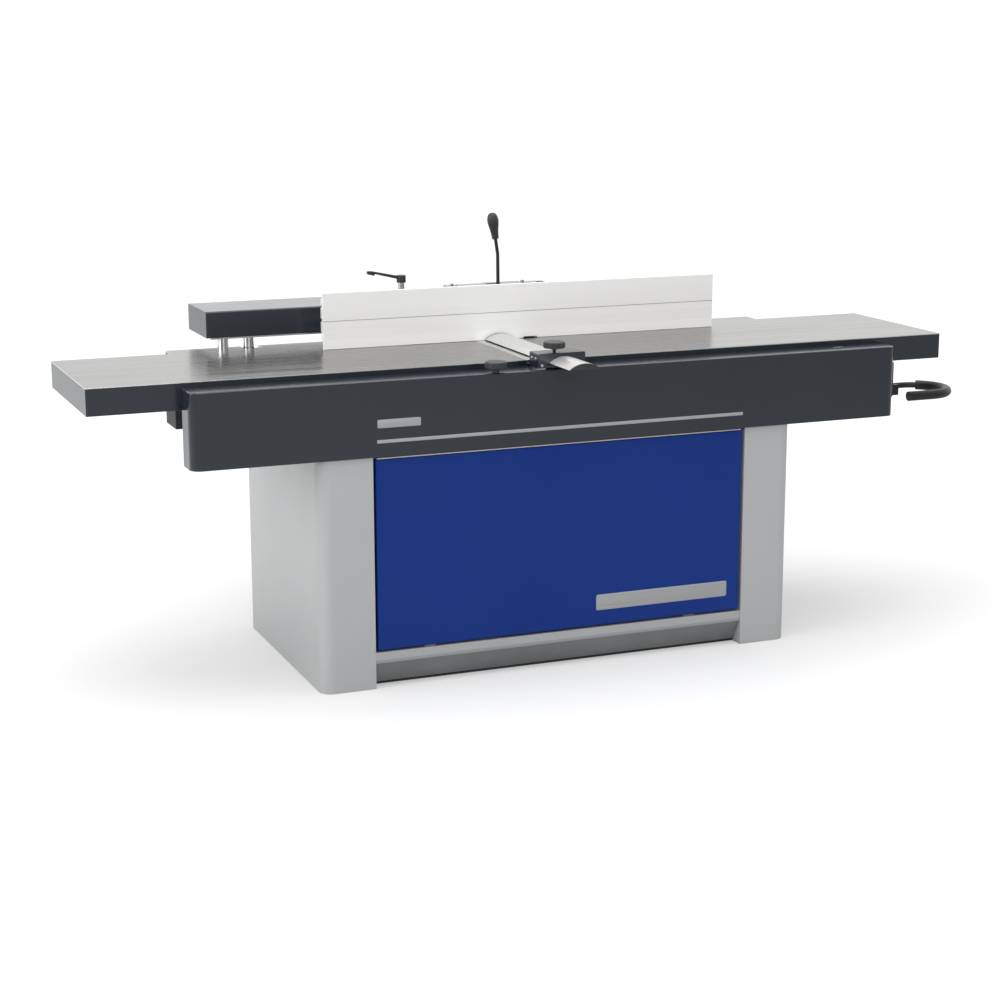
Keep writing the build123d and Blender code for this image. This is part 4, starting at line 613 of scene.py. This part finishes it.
class Bench:
    """Makes added pieces and eases the edges of the frame's nodes."""

    WELD = 0.00001
    FLAT = math.radians(0.6)
    SHARP = math.radians(40)
    RIM = math.radians(60)
    SCREW_HEAD = ((1.0, 0.0), (1.0, 0.55), (0.93, 0.85), (0.78, 1.0), (0.52, 1.0), (0.50, 0.96), (0.48, 0.45))

    def __init__(self, nodes: dict[str, bpy.types.Object], shop: Paintshop) -> None:
        """Keeps the frame's nodes and the paint shop at hand.

        Args:
            nodes: The frame's nodes by name.
            shop: Where finishes come from.
        """
        self.nodes = nodes
        self.shop = shop

    def dress(self, names: Iterable[str], finish: Finish, edge: Edge = Edge.KEEN) -> None:
        """Gives nodes of the frame a finish and, if asked, broken edges.

        Args:
            names: The nodes.
            finish: Their finish.
            edge: How far their sharp edges are broken.
        """
        for name in names:
            node = self.shop.coat(self.nodes[name], finish)
            if edge is not Edge.KEEN:
                self.ease(node, edge.value)
            LOG.info("dressed %s in %s", name, finish.name.lower())

    def ease(self, piece: bpy.types.Object, width: float) -> None:
        """Breaks a piece's sharp edges with modifiers.

        Args:
            piece: The piece.
            width: The width of the broken edge, in metres.
        """
        weld = piece.modifiers.new("weld", "WELD")
        weld.merge_threshold = self.WELD
        merge = piece.modifiers.new("merge", "DECIMATE")
        merge.decimate_type = "DISSOLVE"
        merge.angle_limit = self.FLAT
        bevel = piece.modifiers.new("edges", "BEVEL")
        bevel.limit_method = "ANGLE"
        bevel.angle_limit = self.SHARP
        bevel.width = width
        bevel.segments = 2
        normals = piece.modifiers.new("normals", "WEIGHTED_NORMAL")
        normals.keep_sharp = True

    def finish_piece(self, name: str, mesh: bmesh.types.BMesh, finish: Finish, body: Body,
                     slot: Slot, smooth: float = 35.0) -> bpy.types.Object:
        """Turns mesh work into a piece that rides on a body.

        Args:
            name: The piece's name.
            mesh: Its faces, in place, in the frame's axes.
            finish: Its finish.
            body: The body that carries it.
            slot: Not used.
            smooth: Edges flatter than this many degrees are shaded round.

        Returns:
            The piece.
        """
        data = bpy.data.meshes.new(name)
        bmesh.ops.recalc_face_normals(mesh, faces=mesh.faces)
        mesh.to_mesh(data)
        mesh.free()
        data.shade_smooth()
        data.set_sharp_from_angle(angle=math.radians(smooth))
        piece = bpy.data.objects.new(name, data)
        bpy.context.scene.collection.objects.link(piece)
        self.shop.coat(piece, finish)
        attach(piece, body.value)
        LOG.info("made %s on %s", name, body.value)
        return piece

    @staticmethod
    def slab(mesh: bmesh.types.BMesh, low: Sequence[float], high: Sequence[float], ease: float,
             corner: float = 0.0, axis: int = 2, segments: int = 5) -> None:
        """Adds a slab with broken edges and, across one axis, rounded corners.

        Args:
            mesh: Where it goes.
            low: Its lowest corner.
            high: Its highest corner.
            ease: The width of its broken edges.
            corner: The radius of the corners that run along axis.
            axis: The axis of those corners: 0, 1 or 2.
            segments: Faces round each corner.
        """
        made = bmesh.ops.create_cube(mesh, size=1.0)["verts"]
        low_v, high_v = Vector(low), Vector(high)
        size, middle = high_v - low_v, (low_v + high_v) / 2
        bmesh.ops.scale(mesh, vec=size, verts=made)
        bmesh.ops.translate(mesh, vec=middle, verts=made)
        edges = {edge for vert in made for edge in vert.link_edges}
        if corner > 0:
            along = [e for e in edges if abs((e.verts[0].co - e.verts[1].co)[axis]) > size[axis] / 2]
            out = bmesh.ops.bevel(mesh, geom=along, offset=corner, segments=segments, affect="EDGES",
                                  profile=0.5)
            made = list(out["verts"]) + [v for v in made if v.is_valid]
            edges = {edge for vert in made if vert.is_valid for edge in vert.link_edges}
        rims = [e for e in edges if e.is_valid and len(e.link_faces) == 2 and e.calc_face_angle() > Bench.RIM]
        if ease > 0:
            bmesh.ops.bevel(mesh, geom=rims, offset=ease, segments=2, affect="EDGES", profile=0.5)

    @staticmethod
    def turned(mesh: bmesh.types.BMesh, outline: Sequence[Pair], foot: Sequence[float],
               axis: Sequence[float], around: int = 40, wave: Tuple[int, float] = (0, 0.0)) -> None:
        """Adds a turned shape.

        Args:
            mesh: Where it goes.
            outline: Pairs of radius and height from the foot up; it is closed at each end on the axis.
            foot: Where its foot stands.
            axis: Where its height points.
            around: Faces round it.
            wave: How many lobes its wider part has, and how deep they are as a share of the radius.
        """
        turn = Vector((0, 0, 1)).rotation_difference(Vector(axis)).to_matrix()
        start = Vector(foot)
        widest = max(radius for radius, _ in outline)
        lobes, depth = wave
        rings = []
        for radius, height in outline:
            ring = []
            for step in range(around):
                angle = 2 * math.pi * step / around
                dip = depth * (1 - math.cos(lobes * angle)) / 2 * (radius / widest) ** 6 if lobes else 0.0
                reach = radius * (1 - dip)
                point = Vector((reach * math.cos(angle), reach * math.sin(angle), height))
                ring.append(mesh.verts.new(start + turn @ point))
            rings.append(ring)
        for lower, upper in zip(rings, rings[1:]):
            for step in range(around):
                after = (step + 1) % around
                mesh.faces.new((lower[step], lower[after], upper[after], upper[step]))
        mesh.faces.new(list(reversed(rings[0])))
        mesh.faces.new(rings[-1])

    def screw(self, mesh: bmesh.types.BMesh, place: Sequence[float], axis: Sequence[float], radius: float,
              height: float) -> None:
        """Adds a domed socket-head screw with a round recess in its head."""
        outline = [(radius * wide, height * tall) for wide, tall in self.SCREW_HEAD]
        self.turned(mesh, outline, place, axis, 24)


# ---- sub-assemblies --------------------------------------------------------------------------


@dataclass
class Tables:
    """The two tables, the comb lips and what lifts and carries them."""

    bench: Bench

    def build(self) -> None:
        """Dresses the tables and their carriers."""
        self.bench.dress(("outfeed_table", "infeed_table"), Finish.TABLE, Edge.BROKEN)
        self.bench.dress(("outfeed_lip", "infeed_lip"), Finish.BRIGHT_LIP, Edge.EASED)
        self.bench.dress(("table_support_arms", "infeed_lift_lugs"), Finish.CAST, Edge.SOFT)
        self.bench.dress(("inner_lift_shaft", "outer_lift_shaft"), Finish.STEEL_ROUND)
        self.bench.dress(("depth_tie_rod",), Finish.STEEL, Edge.BROKEN)


@dataclass
class CutterGear:
    """The cutterblock, its bearings, belt and motor."""

    bench: Bench

    def build(self) -> None:
        """Dresses the running gear."""
        self.bench.dress(("cutterblock", "planer_knives", "knife_wedges"), Finish.STEEL_ROUND)
        self.bench.dress(("cutterblock_bearings", "motor_rotor"), Finish.STEEL_ROUND)
        self.bench.dress(("cutterblock_pulley", "motor_pulley"), Finish.CAST_BARE)
        self.bench.dress(("bearing_housings", "motor_cradle"), Finish.CAST, Edge.SOFT)
        self.bench.dress(("motor_housing",), Finish.CAST)
        self.bench.dress(("drive_belt",), Finish.BELT)


@dataclass
class Base:
    """The sheet-metal base with its panels, plinth, hood and electrics."""

    bench: Bench
    plate_span: Pair = (0.103, 0.540)
    plate_height: Pair = (0.160, 0.208)
    plate_thick: float = 0.0012
    plate_corner: float = 0.006
    plate_rim: float = 0.004
    seal_size: Pair = (0.0030, 0.0030)
    seal_inset: Triple = (0.004, 0.0015, 0.0002)
    lid_inset: float = 0.012
    lid_thick: float = 0.003
    lid_sink: float = 0.0005
    lid_corner: float = 0.008
    lid_screw: Pair = (0.005, 0.0028)
    lid_screw_inset: float = 0.014

    def build(self) -> None:
        """Dresses the base and adds what shows on it."""
        self.bench.dress(("pillar_covers", "rear_panel", "electrics_box"), Finish.GREY)
        self.bench.dress(("plinth_rail",), Finish.GREY_PLINTH, Edge.BROKEN)
        self.bench.dress(("front_panel",), Finish.BLUE)
        self.bench.dress(("base_frame",), Finish.ANTHRACITE_DEEP)
        self.bench.dress(("chip_hood", "extraction_spigot"), Finish.SHEET_STEEL)
        self.bench.dress(("cable_gland",), Finish.BLACK_PLASTIC, Edge.EASED)
        self.bench.dress(("fasteners",), Finish.STEEL_ROUND, Edge.EASED)
        self.name_plate()
        self.seal()
        self.lid()

    def name_plate(self) -> None:
        """The blank plate low on the front panel, with two raised bars along its top and bottom."""
        low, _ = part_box("front_panel")
        x0, x1 = self.plate_span
        z0, z1 = self.plate_height
        mesh = bmesh.new()
        thick, rim = self.plate_thick, self.plate_rim
        self.bench.slab(mesh, (x0, low.y - thick, z0), (x1, low.y, z1), 0.0003, self.plate_corner, axis=1)
        for foot in (z0 + rim, z1 - 2 * rim):
            self.bench.slab(mesh, (x0 + rim, low.y - 1.5 * thick, foot),
                            (x1 - rim, low.y - thick / 2, foot + rim), 0.0002)
        self.bench.finish_piece("panel_name_plate", mesh, Finish.PALE_MARK, Body.BASE, Slot.GREY)

    def seal(self) -> None:
        """The pale seal along the top of the front panel."""
        low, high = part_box("front_panel")
        mesh = bmesh.new()
        rise, deep = self.seal_size
        inset, back, gap = self.seal_inset
        self.bench.slab(mesh, (low.x + inset, low.y + back, high.z + gap),
                        (high.x - inset, low.y + back + deep, high.z + gap + rise), 0.0004)
        self.bench.finish_piece("panel_top_seal", mesh, Finish.PALE_SEAL, Body.BASE, Slot.GREY)

    def lid(self) -> None:
        """The lid of the electrics box and its four screws."""
        low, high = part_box("electrics_box")
        mesh = bmesh.new()
        inset = self.lid_inset
        self.bench.slab(mesh, (low.x + inset, high.y - self.lid_sink, low.z + inset),
                        (high.x - inset, high.y + self.lid_thick, high.z - inset), 0.0012, self.lid_corner,
                        axis=1)
        self.bench.finish_piece("electrics_lid", mesh, Finish.GREY, Body.BASE, Slot.GREY)
        mesh = bmesh.new()
        step = inset + self.lid_screw_inset
        radius, height = self.lid_screw
        for x in (low.x + step, high.x - step):
            for z in (low.z + step, high.z - step):
                self.bench.screw(mesh, (x, high.y + self.lid_thick, z), (0, 1, 0), radius, height)
        self.bench.finish_piece("electrics_lid_screws", mesh, Finish.STEEL_ROUND, Body.BASE, Slot.STEEL)


@dataclass
class Apron:
    """The long apron with its stripe, blank plate, plug and switch."""

    bench: Bench
    stripe_span: Pair = (-0.581, 0.578)
    stripe_height: Pair = (0.7215, 0.7312)
    plate_span: Pair = (-0.579, -0.450)
    plate_height: Pair = (0.765, 0.789)
    thick: float = 0.0006
    corners: Pair = (0.0015, 0.003)
    plug_place: Pair = (0.930, -0.350)
    plug_size: Pair = (0.020, 0.010)
    bar_size: Triple = (0.0005, 0.0010, 0.005)
    mark_sink: float = 0.0003

    def build(self) -> None:
        """Dresses the apron and adds its trim."""
        self.bench.dress(("apron",), Finish.ANTHRACITE)
        self.bench.dress(("apron_brackets",), Finish.ANTHRACITE_DEEP, Edge.BROKEN)
        self.bench.dress(("switch_plate",), Finish.BLACK_PLASTIC, Edge.EASED)
        self.bench.dress(("start_button",), Finish.GREEN)
        self.bench.dress(("stop_button",), Finish.RED)
        self.markings()
        self.plug()
        self.button_marks()

    def markings(self) -> None:
        """The pale stripe and the blank plate over its left end."""
        low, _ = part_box("apron")
        names, spans = ("apron_stripe", "apron_blank_plate"), (self.stripe_span, self.plate_span)
        heights = (self.stripe_height, self.plate_height)
        for name, (x0, x1), (z0, z1), corner in zip(names, spans, heights, self.corners):
            mesh = bmesh.new()
            self.bench.slab(mesh, (x0, low.y - self.thick, z0), (x1, low.y, z1), 0.00015, corner, axis=1)
            self.bench.finish_piece(name, mesh, Finish.PALE_MARK, Body.BASE, Slot.GREY)

    def plug(self) -> None:
        """The oval plug in the apron's top."""
        _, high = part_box("apron")
        mesh = bmesh.new()
        outline = [(1.0, 0.0), (1.0, 0.0012), (0.86, 0.0022), (0.45, 0.0026), (0.08, 0.0027)]
        wide, deep = self.plug_size
        self.bench.turned(mesh, [(r * deep, h) for r, h in outline], (0, 0, 0), (0, 0, 1), 36)
        bmesh.ops.scale(mesh, vec=(wide / deep, 1, 1), verts=mesh.verts)
        x, y = self.plug_place
        bmesh.ops.translate(mesh, vec=(x, y, high.z), verts=mesh.verts)
        self.bench.finish_piece("apron_plug", mesh, Finish.BLACK_PLASTIC, Body.BASE, Slot.BLACK_PLASTIC)

    def button_marks(self) -> None:
        """A raised bar on the start button and a raised ring on the stop button."""
        low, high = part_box("start_button")
        middle = (low + high) / 2
        mesh = bmesh.new()
        proud, half_wide, half_tall = self.bar_size
        self.bench.slab(mesh, (high.x - self.mark_sink, middle.y - half_wide, middle.z - half_tall),
                        (high.x + proud, middle.y + half_wide, middle.z + half_tall), 0.0002)
        self.bench.finish_piece("start_mark", mesh, Finish.PALE_MARK, Body.START, Slot.GREY)
        low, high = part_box("stop_button")
        middle = (low + high) / 2
        mesh = bmesh.new()
        foot = -self.mark_sink
        ring = [(0.0036, foot), (0.0052, foot), (0.0052, 0.0004), (0.0044, 0.0006), (0.0036, 0.0004)]
        around = 32
        loops = []
        for step in range(around):
            angle = 2 * math.pi * step / around
            loops.append([mesh.verts.new((high.x + rise, middle.y + radius * math.cos(angle),
                                          middle.z + radius * math.sin(angle))) for radius, rise in ring])
        for first, second in zip(loops, loops[1:] + loops[:1]):
            for i in range(len(ring)):
                j = (i + 1) % len(ring)
                mesh.faces.new((first[i], first[j], second[j], second[i]))
        self.bench.finish_piece("stop_mark", mesh, Finish.PALE_MARK, Body.STOP, Slot.GREY)


@dataclass
class Fence:
    """The fence, its carriage, bars and the cover behind it."""

    bench: Bench

    def build(self) -> None:
        """Dresses the fence and its carriage."""
        self.bench.dress(("fence_panel",), Finish.ANODISED, Edge.EASED)
        self.bench.dress(("fence_hinge_pins",), Finish.STEEL_ROUND)
        self.bench.dress(("fence_carriage",), Finish.CAST, Edge.BROKEN)
        self.bench.dress(("fence_guide_bars",), Finish.CHROME)
        self.bench.dress(("rear_cutter_cover",), Finish.SHEET_STEEL)


@dataclass
class Bridge:
    """The covered bridge, its columns, the pedestal, plate and levers."""

    bench: Bench
    pad_size: Triple = (0.020, 0.030, 0.005)
    pad_back: float = 0.004

    def build(self) -> None:
        """Dresses the bridge and adds the stop pad."""
        self.bench.dress(("bridge_cover",), Finish.ANTHRACITE)
        self.bench.dress(("bridge_base_plate",), Finish.STEEL, Edge.EASED)
        self.bench.dress(("bridge_columns",), Finish.CHROME)
        self.bench.dress(("bridge_blocks", "fence_pedestal"), Finish.CAST, Edge.SOFT)
        self.bench.dress(("guide_bushes",), Finish.STEEL_ROUND)
        self.bench.dress(("slotted_plate",), Finish.ANTHRACITE, Edge.BROKEN)
        self.bench.dress(("bridge_clamp_lever",), Finish.DARK_KNOB)
        self.bench.dress(("lock_lever",), Finish.BLACK_STEEL)
        self.bench.dress(("lock_lever_knob",), Finish.DARK_KNOB)
        self.stop_pad()

    def stop_pad(self) -> None:
        """The rubber pad at the right end of the slotted plate."""
        low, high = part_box("slotted_plate")
        wide, deep, tall = self.pad_size
        front = low.y + self.pad_back
        mesh = bmesh.new()
        self.bench.slab(mesh, (high.x - wide, front, high.z), (high.x, front + deep, high.z + tall),
                        0.0012, corner=0.003, axis=2)
        self.bench.finish_piece("plate_stop_pad", mesh, Finish.RUBBER, Body.BASE, Slot.RUBBER)


@dataclass
class Guard:
    """The bridge guard, its holder and both hand knobs."""

    bench: Bench
    screw_size: Pair = (0.0045, 0.0025)
    front_screw: Triple = (0.013, 0.002, 0.034)
    side_screw: Pair = (0.018, 0.016)

    def build(self) -> None:
        """Dresses the guard and adds the holder's screws."""
        self.bench.dress(("guard_arm",), Finish.GUARD_SKIN)
        self.bench.dress(("guard_end_caps",), Finish.BLACK_PLASTIC, Edge.EASED)
        self.bench.dress(("guard_holder",), Finish.ANTHRACITE, Edge.BROKEN)
        self.bench.dress(("guard_lift_beam", "guard_lift_stand"), Finish.STEEL, Edge.BROKEN)
        self.bench.dress(("guard_clamp_knob", "guard_height_knob"), Finish.DARK_KNOB)
        self.holder_screws()

    def holder_screws(self) -> None:
        """Socket screws in the holder's front and left faces."""
        low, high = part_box("guard_holder")
        radius, height = self.screw_size
        mesh = bmesh.new()
        x, y, drop = self.front_screw
        self.bench.screw(mesh, (low.x + x, low.y + y, high.z - drop), (0, -1, 0), radius, height)
        inset, drop = self.side_screw
        for y in (low.y + inset, high.y - inset):
            self.bench.screw(mesh, (low.x, y, high.z - drop), (-1, 0, 0), radius, height)
        self.bench.finish_piece("holder_screws", mesh, Finish.STEEL_ROUND, Body.HOLDER, Slot.STEEL)


@dataclass
class DepthLever:
    """The depth lever, its bent handle and grip."""

    bench: Bench

    def build(self) -> None:
        """Dresses the lever and the handle."""
        self.bench.dress(("depth_lever",), Finish.BLACK_STEEL, Edge.BROKEN)
        self.bench.dress(("depth_handle",), Finish.BLACK_STEEL)
        self.bench.dress(("handle_grip",), Finish.RUBBER)


# ---- studio ----------------------------------------------------------------------------------


@dataclass
class Studio:
    """A pale floor, a soft sky, soft boxes and the camera."""

    eye: Triple = (-2.392859, -5.811087, 1.860538)
    turn: float = 21.9565
    tilt: float = -12.8605
    roll: float = -0.0793
    lens: float = 74.614
    floor_half: float = 60.0
    floor_height: float = -0.0005
    floor_tone: Colour = (0.55, 0.55, 0.55)
    lift_reach: Pair = (0.9, 4.0)
    lift_levels: Pair = (0.30, 0.62)
    back_gloss: float = 0.48
    back_reach: Pair = (0.4, 2.4)
    sky_front: float = 0.42
    sky_gloss: float = 1.22
    sky_reach: Pair = (-0.9, 0.3)

    def build(self) -> None:
        """Builds the stage, the lights and the camera."""
        self.floor()
        self.sky()
        self.lights()
        self.camera()

    def floor(self) -> None:
        """A wide plain floor that reads white, and bright where polished ends mirror its back."""
        half = self.floor_half
        mesh = bmesh.new()
        corners = ((-half, -half), (half, -half), (half, half), (-half, half))
        mesh.faces.new([mesh.verts.new((x, y, self.floor_height)) for x, y in corners])
        data = bpy.data.meshes.new("studio_floor")
        mesh.to_mesh(data)
        mesh.free()
        floor = bpy.data.objects.new("studio_floor", data)
        bpy.context.scene.collection.objects.link(floor)
        sheet = NodeSheet("studio floor")
        sheet.drive("Base Color", sheet.mottled(sheet.noise(0.8, 2.0), self.floor_tone, (0.99, 1.0)))
        sheet.set(Roughness=0.9, Specular_IOR_Level=0.0)
        sheet.set(Emission_Color=WHITE)
        path = sheet.add("ShaderNodeLightPath")
        distance = sheet.add("ShaderNodeVectorMath", operation="LENGTH")
        sheet.join(sheet.place, distance.inputs[0])
        lift = sheet.spread(distance.outputs["Value"], *self.lift_levels, *self.lift_reach)
        gloss = sheet.spread(sheet.axes()["Y"], 0.0, self.back_gloss, *self.back_reach)
        seen = sheet.sum("MULTIPLY", path.outputs["Is Camera Ray"], lift)
        mirrored = sheet.sum("MULTIPLY", path.outputs["Is Glossy Ray"], gloss)
        sheet.drive("Emission Strength", sheet.sum("ADD", seen, mirrored))
        data.materials.append(sheet.material)

    def sky(self) -> None:
        """A white backdrop, with a softer front so that the machine's front keeps its depth."""
        world = bpy.data.worlds.new("studio")
        bpy.context.scene.world = world
        world.use_nodes = True
        tree = world.node_tree
        back = tree.nodes["Background"]
        place = tree.nodes.new("ShaderNodeTexCoord")
        split = tree.nodes.new("ShaderNodeSeparateXYZ")
        tree.links.new(place.outputs["Generated"], split.inputs["Vector"])
        levels = []
        start, end = self.sky_reach
        for top in (1.0, self.sky_gloss):
            depth = tree.nodes.new("ShaderNodeMapRange")
            ends = (("From Min", start), ("From Max", end), ("To Min", self.sky_front), ("To Max", top))
            for key, value in ends:
                depth.inputs[key].default_value = value
            tree.links.new(split.outputs["Y"], depth.inputs["Value"])
            levels.append(depth.outputs["Result"])
        path = tree.nodes.new("ShaderNodeLightPath")
        mirrored = tree.nodes.new("ShaderNodeMix")
        tree.links.new(path.outputs["Is Glossy Ray"], mirrored.inputs["Factor"])
        tree.links.new(levels[0], mirrored.inputs[2])
        tree.links.new(levels[1], mirrored.inputs[3])
        pick = tree.nodes.new("ShaderNodeMix")
        tree.links.new(path.outputs["Is Camera Ray"], pick.inputs["Factor"])
        tree.links.new(mirrored.outputs[0], pick.inputs[2])
        pick.inputs[3].default_value = 1.0
        tree.links.new(pick.outputs[0], back.inputs["Strength"])
        back.inputs["Color"].default_value = WHITE

    def lights(self) -> None:
        """A broad soft box over the machine, one from the left and a weak one from the front."""
        boxes = (("over", (0.0, -0.5, 4.2), (0.0, 0.0, 0.6), (5.0, 3.2), 110.0),
                 ("left", (-5.0, -0.4, 2.2), (-0.4, 0.0, 0.5), (3.0, 2.4), 88.0),
                 ("front", (-1.0, -6.5, 3.6), (0.0, 0.0, 0.8), (3.5, 2.0), 110.0))
        for name, place, aim, size, power in boxes:
            light = bpy.data.lights.new(name, "AREA")
            light.shape = "RECTANGLE"
            light.size, light.size_y = size
            light.energy = power
            lamp = bpy.data.objects.new(name, light)
            lamp.location = place
            lamp.rotation_mode = "QUATERNION"
            lamp.rotation_quaternion = (Vector(aim) - Vector(place)).to_track_quat("-Z", "Y")
            bpy.context.scene.collection.objects.link(lamp)

    def camera(self) -> None:
        """The camera, a little above the operator's head at the left."""
        scene = bpy.context.scene
        data = bpy.data.cameras.new("camera")
        data.lens = self.lens
        data.sensor_width = 36.0
        data.clip_start, data.clip_end = 0.1, 300.0
        eye = bpy.data.objects.new("camera", data)
        yaw, pitch = math.radians(self.turn), math.radians(self.tilt)
        ahead = Vector((math.sin(yaw) * math.cos(pitch), math.cos(yaw) * math.cos(pitch), math.sin(pitch)))
        level = ahead.to_track_quat("-Z", "Y").to_matrix().to_4x4()
        place = level @ Matrix.Rotation(math.radians(self.roll), 4, "Z")
        place.translation = Vector(self.eye)
        eye.matrix_world = place
        scene.collection.objects.link(eye)
        scene.camera = eye
        scene.view_settings.view_transform = "Standard"


def main() -> None:
    """Builds every sub-assembly in order, then the studio."""
    logging.basicConfig(level=logging.WARNING, format="%(name)s: %(message)s")
    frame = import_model()
    bench = Bench(frame["nodes"], Paintshop())
    for assembly in (Tables, CutterGear, Base, Apron, Fence, Bridge, Guard, DepthLever):
        assembly(bench).build()
        LOG.info("%s done", assembly.__name__)
    Studio().build()


if __name__ == "__main__":
    main()
